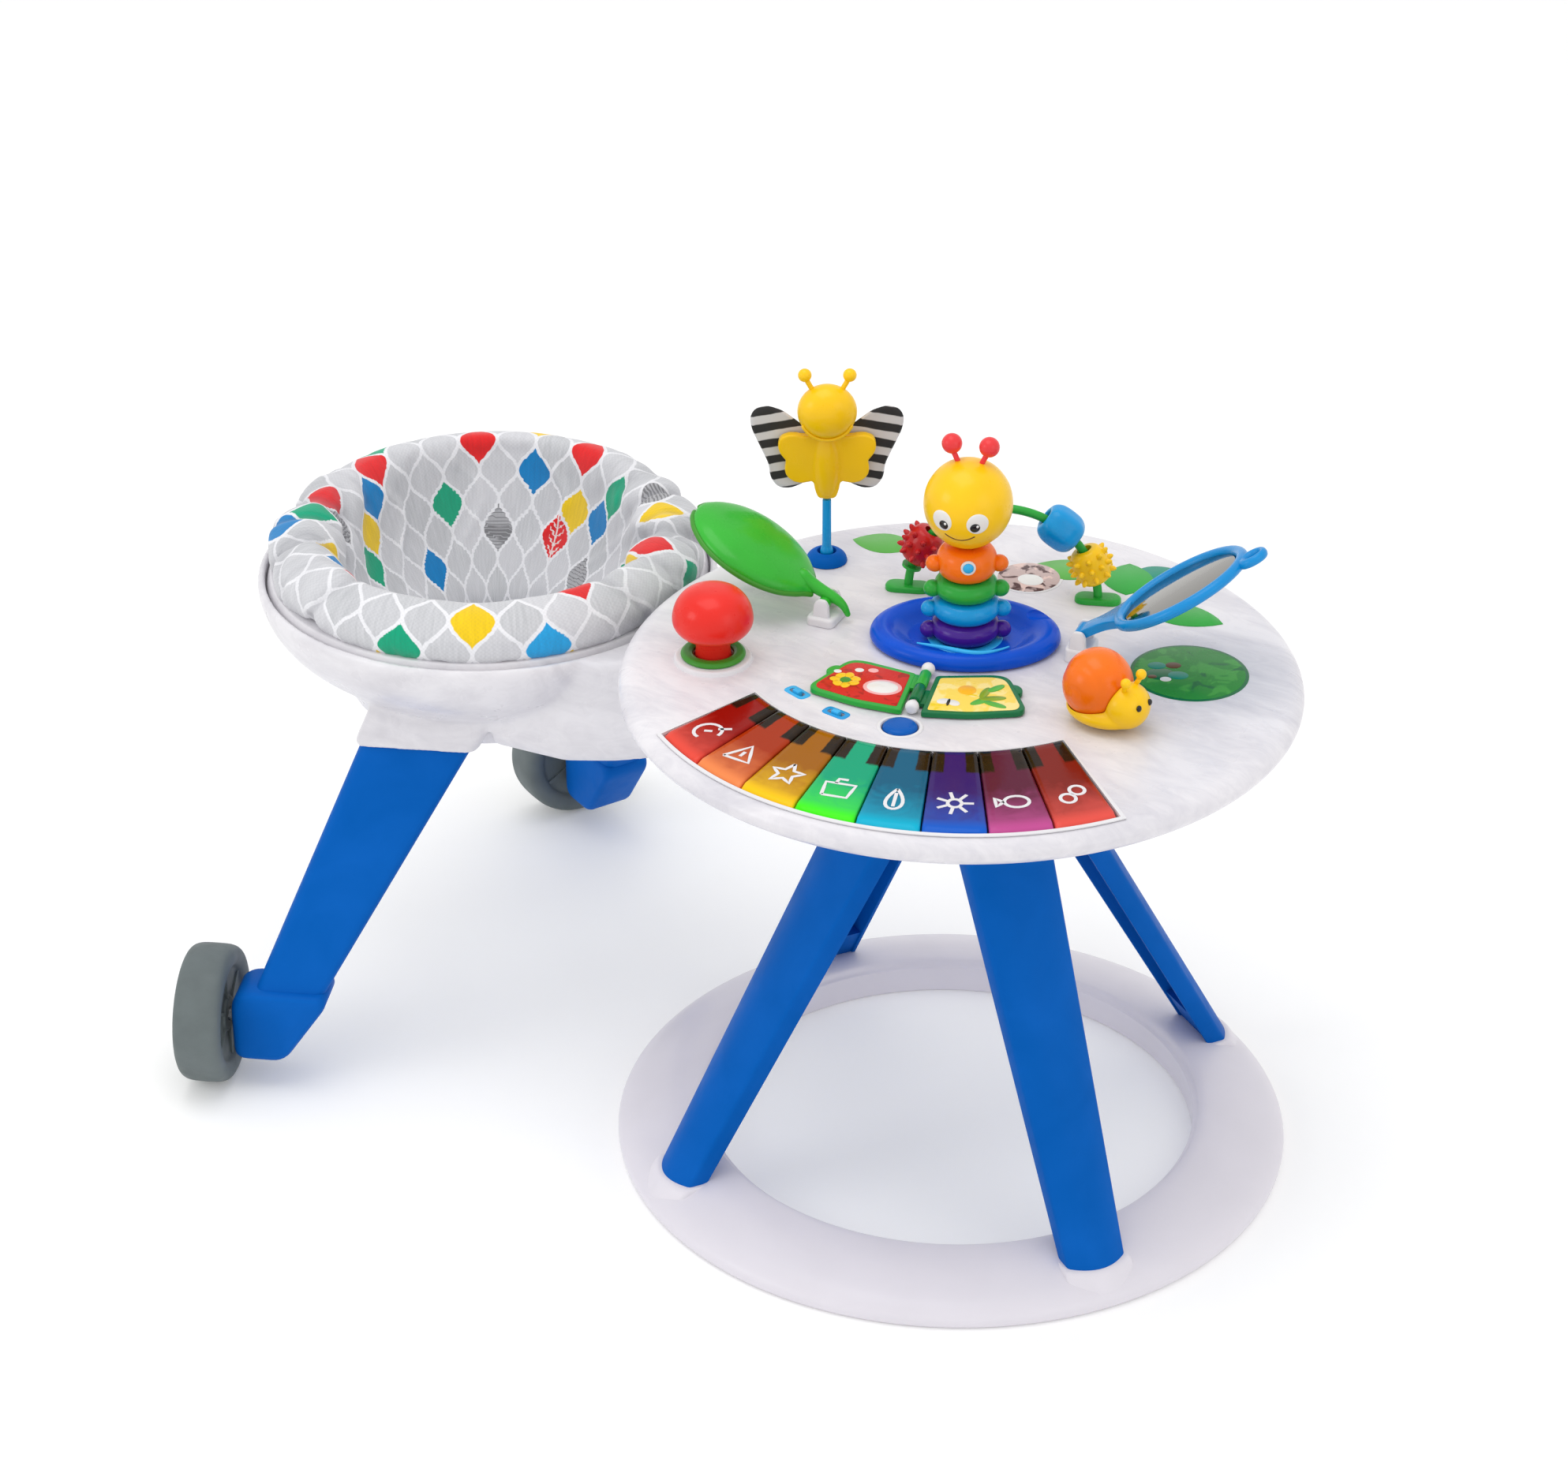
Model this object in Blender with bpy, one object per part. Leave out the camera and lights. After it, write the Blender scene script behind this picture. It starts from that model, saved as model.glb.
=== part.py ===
"""Walk-around activity table: a round toy table on four splayed legs and a floor ring, with a wheeled
seat that walks round the table's axis. Metres, +Z up, floor at Z = 0, seat towards -X.

Everything hangs from the empty table_axis, so the numbers below are measured from the table's axis."""

from math import acos, cos, pi, radians, sin, sqrt

import bmesh
import bpy
from mathutils import Matrix, Vector

# Driving dimensions
BASE_RADIUS = 0.310
BASE_HOLE_RADIUS = 0.225
TABLE_RADIUS = 0.300
TABLE_TOP = 0.4853
LID_WALL = 0.004
TRAY_LOW = 0.4590
ARM_TOP = 0.4582
ARM_LOW = 0.4288
HUB_TOP = 0.4280
HUB_LOW = 0.3760
HUB_RADIUS = 0.106
SPINDLE_RADIUS = 0.044
SEAT_DISTANCE = 0.512
SEAT_RIM_RADIUS = 0.2160
SEAT_RIM_TOP = 0.450
PAD_FACING = radians(-57.5)
WHEEL_RADIUS = 0.066
WHEEL_WIDTH = 0.046
WHEEL_TRACK = 0.703
WHEEL_AZIMUTH = radians(25)
AXLE_RADIUS = 0.006

GAP = 0.0004
RUNNING_GAP = 0.0006

# Table legs: a straight line from the floor ring to the hub, given at two heights
LEG_AZIMUTHS = [radians(a) for a in (-122.5, -32.5, 57.5, 147.5)]
LEG_FOOT = (0.2780, 0.0260)
LEG_HEAD = (0.0656, 0.4000)
LEG_FOOT_WIDTH = 0.056
LEG_HEAD_WIDTH = 0.088
LEG_WALL = 0.004

# Seat legs: centre of the section at two heights, on the -Y side
SEAT_LEG_HEAD = Vector((-0.488, -0.136, 0.347))
SEAT_LEG_FOOT = Vector((-0.567, -0.264, 0.096))
SEAT_LEG_HEAD_SIZE = (0.106, 0.044)
SEAT_LEG_FOOT_SIZE = (0.066, 0.040)

# Keyboard: eight keys between two arcs with different centres
KEY_COUNT = 8
# Each arc: centre, radius, first and last angle, and 1 if growing the keyboard makes it wider
KEY_INNER = ((-0.0294, 0.0365), 0.1985, radians(-119.2), radians(-31.8), -1)
KEY_OUTER = ((0.0, 0.0), 0.2830, radians(-122.6), radians(-32.8), 1)
KEY_TOP = 0.4878
KEY_LOW = 0.4740
KEY_TRAVEL = 0.0025

# Toys: places on the tabletop
DISH_AT = (-0.022, 0.046)
DISH_YAW = radians(27)
DISH_LONG = 0.085
DISH_SHORT = 0.064
MUSHROOM_AT = (-0.1916, -0.1016)
SNAIL_AT = (0.150, -0.018)
SNAIL_YAW = radians(-8)
MIRROR_HINGE = (0.079, 0.075, 0.509)
MIRROR_YAW = radians(12)
MIRROR_PITCH = radians(33.6)
LEAF_HINGE = (-0.147, 0.016, 0.504)
LEAF_YAW = radians(188)
LEAF_PITCH = radians(27)
BUTTERFLY_AT = (-0.2075, 0.1125)
BUTTERFLY_YAW = radians(32.5)
STEM_PIVOT = 0.490
VINE_AT = (-0.0363, 0.1386)
VINE_YAW = radians(24)
VINE_RADIUS = 0.086
VINE_TUBE = 0.004
BEAD_ANGLES = {"bead_red": radians(149), "bead_blue": radians(54), "bead_yellow": radians(24)}
BOOK_AT = (-0.0045, -0.0615)
BOOK_YAW = radians(19)
BOOK_AXIS_Z = 0.4922
BUTTON_AT = (0.0100, -0.1195)
BUTTON_RADIUS = 0.0155
SWITCH_PLACES = {"power_switch": (-0.0963, -0.1144, -0.30), "volume_switch": (-0.0489, -0.1275, -0.12)}

# Seat's far edge and the floor ring's far edge are the ends of the object, so this centres it
TABLE_X = (SEAT_DISTANCE + SEAT_RIM_RADIUS - BASE_RADIUS) / 2

COLOURS = {
    "shell_white": ((0.86, 0.85, 0.88), 0.30),
    "leg_blue": ((0.00, 0.13, 0.62), 0.38),
    "wheel_grey": ((0.17, 0.20, 0.20), 0.60),
    "fabric_grey": ((0.62, 0.62, 0.64), 0.90),
    "fabric_stripe": ((0.55, 0.55, 0.57), 0.90),
    "steel": ((0.55, 0.56, 0.58), 0.25),
    "dish_blue": ((0.00, 0.05, 0.60), 0.25),
    "toy_red": ((0.78, 0.03, 0.02), 0.30),
    "toy_orange": ((0.95, 0.25, 0.01), 0.30),
    "toy_yellow": ((0.95, 0.62, 0.01), 0.30),
    "toy_green": ((0.07, 0.50, 0.05), 0.30),
    "toy_cyan": ((0.02, 0.38, 0.75), 0.30),
    "toy_purple": ((0.16, 0.03, 0.36), 0.30),
    "toy_teal": ((0.00, 0.36, 0.30), 0.30),
    "toy_magenta": ((0.42, 0.02, 0.28), 0.30),
    "mirror_silver": ((0.80, 0.80, 0.82), 0.05),
    "electronics_grey": ((0.10, 0.10, 0.11), 0.60),
}
KEY_COLOURS = ("toy_red", "toy_orange", "toy_yellow", "toy_green", "toy_teal", "toy_purple", "toy_magenta", "toy_red")


def clear_scene():
    for old in list(bpy.data.objects):
        bpy.data.objects.remove(old)


def material(name):
    if name in bpy.data.materials:
        return bpy.data.materials[name]
    colour, roughness = COLOURS[name]
    made = bpy.data.materials.new(name)
    made.use_nodes = True
    shader = made.node_tree.nodes["Principled BSDF"]
    shader.inputs["Base Color"].default_value = (*colour, 1)
    shader.inputs["Roughness"].default_value = roughness
    shader.inputs["Metallic"].default_value = 1.0 if name in ("steel", "mirror_silver") else 0.0
    return made


# ---------------------------------------------------------------- shapes, each as (points, faces)


def loft(sections):
    """Closed solid through rings of equally many points."""
    count = len(sections[0])
    points = [tuple(p) for ring in sections for p in ring]
    faces = []
    for i in range(len(sections) - 1):
        for j in range(count):
            k = (j + 1) % count
            faces.append((i * count + j, i * count + k, (i + 1) * count + k, (i + 1) * count + j))
    last = (len(sections) - 1) * count
    faces.append(tuple(range(count)))
    faces.append(tuple(range(last, last + count)))
    return points, faces


def prism(outline, low, high):
    return loft([[(x, y, low) for x, y in outline], [(x, y, high) for x, y in outline]])


def turned(profile, steps):
    """Solid of revolution about Z of a closed section. A point of radius 0 is a pole."""
    points, faces, rings = [], [], []
    for radius, height in profile:
        start = len(points)
        if radius == 0:
            points.append((0, 0, height))
            rings.append([start] * steps)
        else:
            points += [(radius * cos(2 * pi * i / steps), radius * sin(2 * pi * i / steps), height) for i in range(steps)]
            rings.append(list(range(start, start + steps)))
    pairs = list(zip(rings, rings[1:]))
    if profile[0][0] or profile[-1][0]:
        pairs.append((rings[-1], rings[0]))
    for one, two in pairs:
        for i in range(steps):
            k = (i + 1) % steps
            corners = tuple(dict.fromkeys((one[i], one[k], two[k], two[i])))
            if len(corners) > 2:
                faces.append(corners)
    return points, faces


def tube(route, radius, sides=8):
    """Round bar along a list of points."""
    route = [Vector(p) for p in route]
    normal = None
    sections = []
    for i, here in enumerate(route):
        ahead = (route[min(i + 1, len(route) - 1)] - route[max(i - 1, 0)]).normalized()
        if normal is None:
            normal = ahead.orthogonal().normalized()
        normal = (normal - ahead * normal.dot(ahead)).normalized()
        side = ahead.cross(normal)
        angles = [2 * pi * j / sides for j in range(sides)]
        sections.append([here + (normal * cos(a) + side * sin(a)) * radius for a in angles])
    return loft(sections)


def ball(radii, centre, steps=16, rings=8):
    profile = [(0, -1)] + [(sin(pi * i / rings), -cos(pi * i / rings)) for i in range(1, rings)] + [(0, 1)]
    points, faces = turned(profile, steps)
    return [tuple(c + r * v for c, r, v in zip(centre, radii, p)) for p in points], faces


def moved(data, matrix):
    points, faces = data
    return [tuple(matrix @ Vector(p)) for p in points], faces


def circle(radius, steps, centre=(0, 0)):
    return [(centre[0] + radius * cos(2 * pi * i / steps), centre[1] + radius * sin(2 * pi * i / steps)) for i in range(steps)]


def ellipse(long, short, steps, centre=(0, 0)):
    return [(centre[0] + x * long, centre[1] + y * short) for x, y in circle(1, steps)]


def along_x(data):
    return moved(data, Matrix.Rotation(pi / 2, 4, "Y"))


def along_y(data):
    return moved(data, Matrix.Rotation(-pi / 2, 4, "X"))


# ---------------------------------------------------------------- objects


def mesh_object(name, data, parent, at, turn):
    mesh = bpy.data.meshes.new(name)
    mesh.from_pydata(data[0], [], data[1])
    work = bmesh.new()
    work.from_mesh(mesh)
    bmesh.ops.recalc_face_normals(work, faces=work.faces)
    work.to_mesh(mesh)
    work.free()
    made = bpy.data.objects.new(name, mesh)
    bpy.context.scene.collection.objects.link(made)
    made.parent = parent
    made.location = at
    made.rotation_euler = turn
    return made


def piece(name, data, colour, at=(0, 0, 0), turn=(0, 0, 0), parent=None):
    """A visible sub-part with its origin at `at`."""
    made = mesh_object(name, data, parent or table_axis, at, turn)
    made.data.materials.append(material(colour))
    made.data.shade_smooth()
    made.data.set_sharp_from_angle(angle=radians(35))
    return made


def combine(target, data, operation, turn=None):
    """Adds or cuts one more shape, given in the target's own coordinates."""
    if turn is not None:
        data = moved(data, turn)
    helper = mesh_object(f"{target.name}_helper_{len(target.modifiers)}", data, target, (0, 0, 0), (0, 0, 0))
    helper.hide_render = True
    helper.display_type = "WIRE"
    boolean = target.modifiers.new(f"{operation.lower()}_{len(target.modifiers)}", "BOOLEAN")
    boolean.operation = operation
    boolean.solver = "EXACT"
    boolean.object = helper


def join(target, *shapes):
    for data in shapes:
        combine(target, data, "UNION")


def cut(target, *shapes):
    for data in shapes:
        combine(target, data, "DIFFERENCE")


def pin(radius, low, high, steps=12):
    return turned([(0, low), (radius, low), (radius, high), (0, high)], steps)


def between(value, start, end, first, last):
    """Straight-line value at `value`, which runs from start to end."""
    share = (value - start) / (end - start)
    return first + (last - first) * share


# ---------------------------------------------------------------- floor ring, legs and hub


def leg_section(azimuth, z, grow=0.0, inset=0.0, open_inwards=False):
    """Level cut through a table leg: flat inside, bowed outside."""
    centre = between(z, LEG_FOOT[1], LEG_HEAD[1], LEG_FOOT[0], LEG_HEAD[0])
    half = between(z, LEG_FOOT[1], LEG_HEAD[1], LEG_FOOT_WIDTH, LEG_HEAD_WIDTH) / 2 + grow - inset
    depth = between(z, LEG_FOOT[1], LEG_HEAD[1], 0.015, 0.017) + grow - inset
    bow = 0.012
    inner = -depth if not open_inwards else -0.060
    outline = [(inner, -half), (depth - bow, -half)]
    outline += [(depth - bow * (y / half) ** 2, y) for y in (-0.6 * half, -0.2 * half, 0.2 * half, 0.6 * half)]
    outline += [(depth - bow, half), (inner, half)]
    turn = Matrix.Rotation(azimuth, 4, "Z")
    return [turn @ Vector((centre + x, y, z)) for x, y in outline]


def base_ring():
    profile = [
        (BASE_HOLE_RADIUS + 0.001, 0.0),
        (BASE_RADIUS - 0.004, 0.0),
        (BASE_RADIUS, 0.005),
        (BASE_RADIUS - 0.002, 0.013),
        (BASE_RADIUS - 0.014, 0.0215),
        (0.262, 0.0320),
        (0.240, 0.0350),
        (0.229, 0.0315),
        (BASE_HOLE_RADIUS, 0.0220),
    ]
    ring = piece("base_ring", turned(profile, 48), "shell_white")
    for azimuth in LEG_AZIMUTHS:
        join(ring, loft([leg_section(azimuth, z, grow=0.0045) for z in (0.015, 0.040)]))
    for azimuth in LEG_AZIMUTHS:
        cut(ring, loft([leg_section(azimuth, z, grow=GAP) for z in (LEG_FOOT[1] - GAP, 0.060)]))


def table_legs():
    for number, azimuth in enumerate(LEG_AZIMUTHS, 1):
        heights = (LEG_FOOT[1], 0.120, 0.260, LEG_HEAD[1])
        leg = piece(f"table_leg_{number}", loft([leg_section(azimuth, z) for z in heights]), "leg_blue")
        inside = [leg_section(azimuth, z, inset=LEG_WALL, open_inwards=True) for z in (0.060, 0.370)]
        cut(leg, loft(inside))


def hub():
    profile = [(0, HUB_LOW), (HUB_RADIUS - 0.008, HUB_LOW), (HUB_RADIUS, HUB_LOW + 0.008)]
    profile += [(HUB_RADIUS, HUB_TOP - 0.006), (HUB_RADIUS - 0.006, HUB_TOP), (0, HUB_TOP)]
    housing = piece("hub_housing", turned(profile, 32), "shell_white")
    for azimuth in LEG_AZIMUTHS:
        cut(housing, loft([leg_section(azimuth, z, grow=GAP) for z in (HUB_LOW - 0.02, LEG_HEAD[1] + GAP)]))
    cut(housing, pin(0.034, HUB_LOW - 0.01, HUB_TOP - 0.008, 16))
    tube_low = HUB_TOP + GAP
    tube_high = TRAY_LOW - GAP
    wall = [(0.030, tube_low), (SPINDLE_RADIUS, tube_low), (SPINDLE_RADIUS, tube_high), (0.030, tube_high)]
    piece("hub_spindle", turned(wall, 24), "shell_white")


# ---------------------------------------------------------------- tabletop


def key_outline(first, last, grow=0.0, steps=3):
    """Outline from one share of the keyboard's length to another, between its two arcs."""
    outline = []
    for (x, y), radius, start, end, side in (KEY_INNER, KEY_OUTER):
        arc = []
        for i in range(steps + 1):
            angle = start + (end - start) * (first + (last - first) * i / steps)
            arc.append((x + (radius + grow * side) * cos(angle), y + (radius + grow * side) * sin(angle)))
        outline += arc if side < 0 else arc[::-1]
    return outline


def tabletop():
    rim = [(0.2850, 0.0), (0.2920, -0.0022), (0.2970, -0.0070), (TABLE_RADIUS, -0.0140)]
    rim += [(0.2985, -0.0205), (0.2935, -0.0253), (0.2890, -0.0263)]
    inner = [(0.2850, -0.0263), (0.2860, -0.0220), (0.2935, -0.0180), (0.2950, -0.0140)]
    inner += [(0.2915, -0.0080), (0.2840, -0.0042), (0, -LID_WALL)]
    profile = [(0, TABLE_TOP)] + [(r, TABLE_TOP + z) for r, z in rim + inner]
    lid = piece("tabletop_lid", turned(profile, 48), "shell_white")
    mushroom_boss = moved(pin(0.034, -0.002, 0.0042, 24), Matrix.Translation((*MUSHROOM_AT, TABLE_TOP)))
    join(lid, mushroom_boss)
    well = key_outline(-0.003, 1.003, grow=0.0008, steps=16)
    cut(lid, prism(well, TABLE_TOP - 0.012, TABLE_TOP + 0.01))
    holes = [(*MUSHROOM_AT, 0.0172), (*BUTTON_AT, BUTTON_RADIUS + 0.0006), (*SNAIL_AT, 0.0062)]
    for x, y, radius in holes:
        cut(lid, prism(circle(radius, 20, (x, y)), TABLE_TOP - 0.01, TABLE_TOP + 0.01))
    for x, y, yaw in SWITCH_PLACES.values():
        slot = [(sx * 0.0085, sy * 0.0032) for sx, sy in ((-1, -1), (1, -1), (1, 1), (-1, 1))]
        place = Matrix.Translation((x, y, 0)) @ Matrix.Rotation(yaw, 4, "Z")
        cut(lid, moved(prism(slot, TABLE_TOP - 0.01, TABLE_TOP + 0.01), place))
    tray_wall = [(0, TRAY_LOW), (0.2844, TRAY_LOW), (0.2844, TRAY_LOW + 0.003), (0, TRAY_LOW + 0.003)]
    tray = piece("tabletop_tray", turned(tray_wall, 48), "shell_white")
    door = [(0.075, 0.150), (0.145, 0.150), (0.145, 0.210), (0.075, 0.210)]
    middle = (0.110, 0.180)
    hole = [(middle[0] + (x - middle[0]) * 1.012, middle[1] + (y - middle[1]) * 1.012) for x, y in door]
    cut(tray, prism(hole, TRAY_LOW - 0.01, TRAY_LOW + 0.01))
    piece("battery_door", prism(door, TRAY_LOW + 0.0002, TRAY_LOW + 0.0026), "shell_white")
    box = [(middle[0] + (x - middle[0]) * 0.94, middle[1] + (y - middle[1]) * 0.94) for x, y in door]
    piece("battery_box", prism(box, TRAY_LOW + 0.0035, TABLE_TOP - LID_WALL - GAP), "electronics_grey")
    speaker_wall = [(0, 0.0), (0.024, 0.0), (0.026, 0.004), (0.026, 0.010), (0.012, 0.013), (0, 0.013)]
    speaker_z = TRAY_LOW + 0.003 + GAP
    piece("speaker", turned(speaker_wall, 20), "electronics_grey", at=(-0.090, 0.205, speaker_z))


def keyboard():
    gap = 0.0016
    for number, colour in enumerate(KEY_COLOURS):
        outline = key_outline(number / KEY_COUNT + gap, (number + 1) / KEY_COUNT - gap)
        piece(f"piano_key_{number + 1}", prism(outline, KEY_LOW, KEY_TOP), colour)


def controls():
    dome = [(0, -0.010), (BUTTON_RADIUS, -0.010), (BUTTON_RADIUS, 0.0012), (0.012, 0.0032), (0, 0.0040)]
    piece("select_button", turned(dome, 20), "leg_blue", at=(*BUTTON_AT, TABLE_TOP))
    for name, (x, y, yaw) in SWITCH_PLACES.items():
        knob = [(sx * 0.0040, sy * 0.0026) for sx, sy in ((-1, -1), (1, -1), (1, 1), (-1, 1))]
        data = prism(knob, -0.008, 0.0028)
        piece(name, data, "toy_cyan", at=(x, y, TABLE_TOP), turn=(0, 0, yaw))


# ---------------------------------------------------------------- seat


def seat_leg_section(side, z, grow=0.0):
    """Level cut through a seat leg. side is 1 for the -Y leg and -1 for its mirror image."""
    share = (z - SEAT_LEG_FOOT.z) / (SEAT_LEG_HEAD.z - SEAT_LEG_FOOT.z)
    centre = SEAT_LEG_FOOT.lerp(SEAT_LEG_HEAD, share)
    sizes = zip(SEAT_LEG_FOOT_SIZE, SEAT_LEG_HEAD_SIZE)
    wide, thick = [(foot + (head - foot) * share) / 2 + grow for foot, head in sizes]
    bevel = 0.010
    corners = [(-wide, -thick + bevel), (-wide + bevel, -thick), (wide - bevel, -thick), (wide, -thick + bevel)]
    corners += [(wide, thick - bevel), (wide - bevel, thick), (-wide + bevel, thick), (-wide, thick - bevel)]
    along = Vector((cos(WHEEL_AZIMUTH), sin(WHEEL_AZIMUTH)))
    across = Vector((-along.y, along.x))
    ring = [centre.xy + along * x + across * y for x, y in corners]
    return [(p.x, p.y * side, z) for p in ring]


def seat_frame():
    outer = [(0, SEAT_RIM_TOP), (0.2125, SEAT_RIM_TOP), (0.2152, 0.4470), (SEAT_RIM_RADIUS, 0.4400)]
    outer += [(0.2138, 0.4270), (0.2085, 0.4130), (0.1965, 0.3960), (0.1765, 0.3790), (0.1575, 0.3640)]
    outer += [(0.1440, 0.3520), (0.1370, 0.3400), (0.1345, 0.3270), (0, 0.3270)]
    inner = [(0, SEAT_RIM_TOP + 0.02), (0.2090, SEAT_RIM_TOP + 0.02), (0.2085, 0.4315), (0.2000, 0.4315)]
    inner += [(0.1970, 0.4180), (0.1885, 0.4030), (0.1695, 0.3860), (0.1505, 0.3700), (0.1375, 0.3570)]
    inner += [(0.1310, 0.3430), (0.1290, 0.3070), (0, 0.3070)]
    at = Matrix.Translation((-SEAT_DISTANCE, 0, 0))
    frame = piece("seat_frame", moved(turned(outer, 44), at), "shell_white")

    # Neck: x, half width, underside and top of each section
    neck = [
        (-0.050, 0.062, 0.4300, ARM_TOP - 0.0010),
        (-0.120, 0.066, 0.4300, ARM_TOP - 0.0010),
        (-0.160, 0.072, 0.4020, ARM_TOP - 0.0010),
        (-0.200, 0.078, 0.3720, ARM_TOP - 0.0010),
        (-0.260, 0.088, 0.3520, ARM_TOP - 0.0010),
        (-0.305, 0.106, 0.3440, 0.4490),
        (-0.345, 0.122, 0.3400, 0.4470),
        (-0.420, 0.128, 0.3380, 0.4440),
    ]

    def neck_ring(x, half, low, high, lean=0.0):
        soft = 0.010
        outline = [(-half, high - soft), (-half + soft, high), (half - soft, high), (half, high - soft)]
        outline += [(half, low + soft), (half - soft, low), (-half + soft, low), (-half, low + soft)]
        return [(x - lean * (high - z), y, z) for y, z in outline]

    join(frame, loft([neck_ring(*section) for section in neck]))
    join(frame, turned([(0, ARM_LOW), (0.078, ARM_LOW), (0.078, ARM_TOP), (0, ARM_TOP)], 32))
    head = SEAT_LEG_HEAD.z
    for side in (1, -1):
        join(frame, loft([seat_leg_section(side, z, grow=0.006) for z in (0.3262, head + 0.0077)]))
    cut(frame, moved(turned(inner, 44), at))
    wall = 0.005
    channel = [neck_ring(x, half - wall, low - 0.05, high - wall) for x, half, low, high in neck[2:5]]
    x, half, low, high = neck[5]
    channel.append(neck_ring(x, half - wall, low - 0.05, high - wall, lean=0.30))
    cut(frame, loft(channel))
    cut(frame, pin(SPINDLE_RADIUS + RUNNING_GAP + 0.0004, ARM_LOW - 0.02, ARM_TOP + 0.02, 24))
    for side in (1, -1):
        cut(frame, loft([seat_leg_section(side, z, grow=GAP) for z in (0.3000, head + GAP)]))


def seat_legs():
    for name, side in (("left", 1), ("right", -1)):
        foot, head = SEAT_LEG_FOOT.z, SEAT_LEG_HEAD.z
        sections = [seat_leg_section(side, z) for z in (foot, head)]
        piece(f"seat_leg_{name}", loft(sections), "leg_blue")
        running_gear(name, side)


def running_gear(name, side):
    """Boot, axle and wheel. The axle's frame has its X pointing out from the table's axis."""
    yaw = pi + WHEEL_AZIMUTH * side
    turn = (0, 0, yaw)
    centre = (0, 0, WHEEL_RADIUS)
    outline = [(0.632, 0.024), (0.678, 0.024), (0.678, 0.098), (0.664, 0.111), (0.587, 0.111), (0.585, 0.098)]
    sections = [[(x, y, z - WHEEL_RADIUS) for x, z in outline] for y in (-0.026, 0.026)]
    boot = piece(f"leg_boot_{name}", loft(sections), "leg_blue", at=centre, turn=turn)
    to_table = Matrix.Translation(centre) @ Matrix.Rotation(yaw, 4, "Z")
    foot = SEAT_LEG_FOOT.z
    socket = loft([seat_leg_section(side, z, grow=GAP) for z in (foot - GAP, foot + 0.03)])
    cut(boot, moved(socket, to_table.inverted()))
    hole = along_x(pin(AXLE_RADIUS + RUNNING_GAP, 0.6495, 0.70, 16))
    cut(boot, hole)
    half = WHEEL_WIDTH / 2
    shaft = [(0, 0.650), (AXLE_RADIUS, 0.650), (AXLE_RADIUS, WHEEL_TRACK + 0.0188)]
    shaft += [(0.011, WHEEL_TRACK + 0.0188), (0.009, WHEEL_TRACK + half), (0, WHEEL_TRACK + half)]
    piece(f"wheel_axle_{name}", along_x(turned(shaft, 12)), "steel", at=centre, turn=turn)
    bore = AXLE_RADIUS + RUNNING_GAP
    tread = [(bore, -0.018), (0.040, -0.018), (0.050, -half), (0.061, -0.021), (WHEEL_RADIUS, -0.013)]
    profile = tread + [(r, -z) for r, z in reversed(tread)]
    hub_at = (WHEEL_TRACK * cos(yaw), WHEEL_TRACK * sin(yaw), WHEEL_RADIUS)
    piece(f"wheel_{name}", along_x(turned(profile, 28)), "wheel_grey", at=hub_at, turn=turn)


def seat_soft():
    at = (-SEAT_DISTANCE, 0, 0)
    hoop = [(0.1870, 0.4360), (0.1900, 0.4320), (0.2072, 0.4320), (0.2072, 0.4420), (0.2035, 0.4505), (0.1890, 0.4505)]
    piece("seat_ring", turned(hoop, 36), "shell_white", at=at)
    under = [(0.1950, 0.4515), (0.1850, 0.4520), (0.1820, 0.4400), (0.1720, 0.4180), (0.1500, 0.3960)]
    under += [(0.1250, 0.3780), (0.1000, 0.3640), (0.0980, 0.3280), (0.0820, 0.3030), (0.0500, 0.2890), (0, 0.2850)]
    inside = [(0, 0.3000), (0.0450, 0.3030), (0.0720, 0.3160), (0.0840, 0.3340), (0.0880, 0.3680), (0.1120, 0.3900)]
    inside += [(0.1350, 0.4150), (0.1470, 0.4500), (0.1510, 0.4800), (0.1590, 0.4955), (0.1705, 0.5015)]
    inside += [(0.1840, 0.4965), (0.1935, 0.4810), (0.1970, 0.4640)]
    pad = piece("seat_pad", turned(under + inside, 36), "fabric_grey", at=at, turn=(0, 0, PAD_FACING))
    for side in (1, -1):
        lean = Matrix.Rotation(side * radians(42), 4, "Z") @ Matrix.Rotation(radians(150), 4, "Y")
        hole = moved(pin(0.031, -0.020, 0.080, 16), Matrix.Translation((0, 0, 0.345)) @ lean)
        cut(pad, moved(hole, Matrix.Translation((0.043 * cos(radians(42)), 0.043 * sin(radians(42)) * side, 0))))


# ---------------------------------------------------------------- toys


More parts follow.
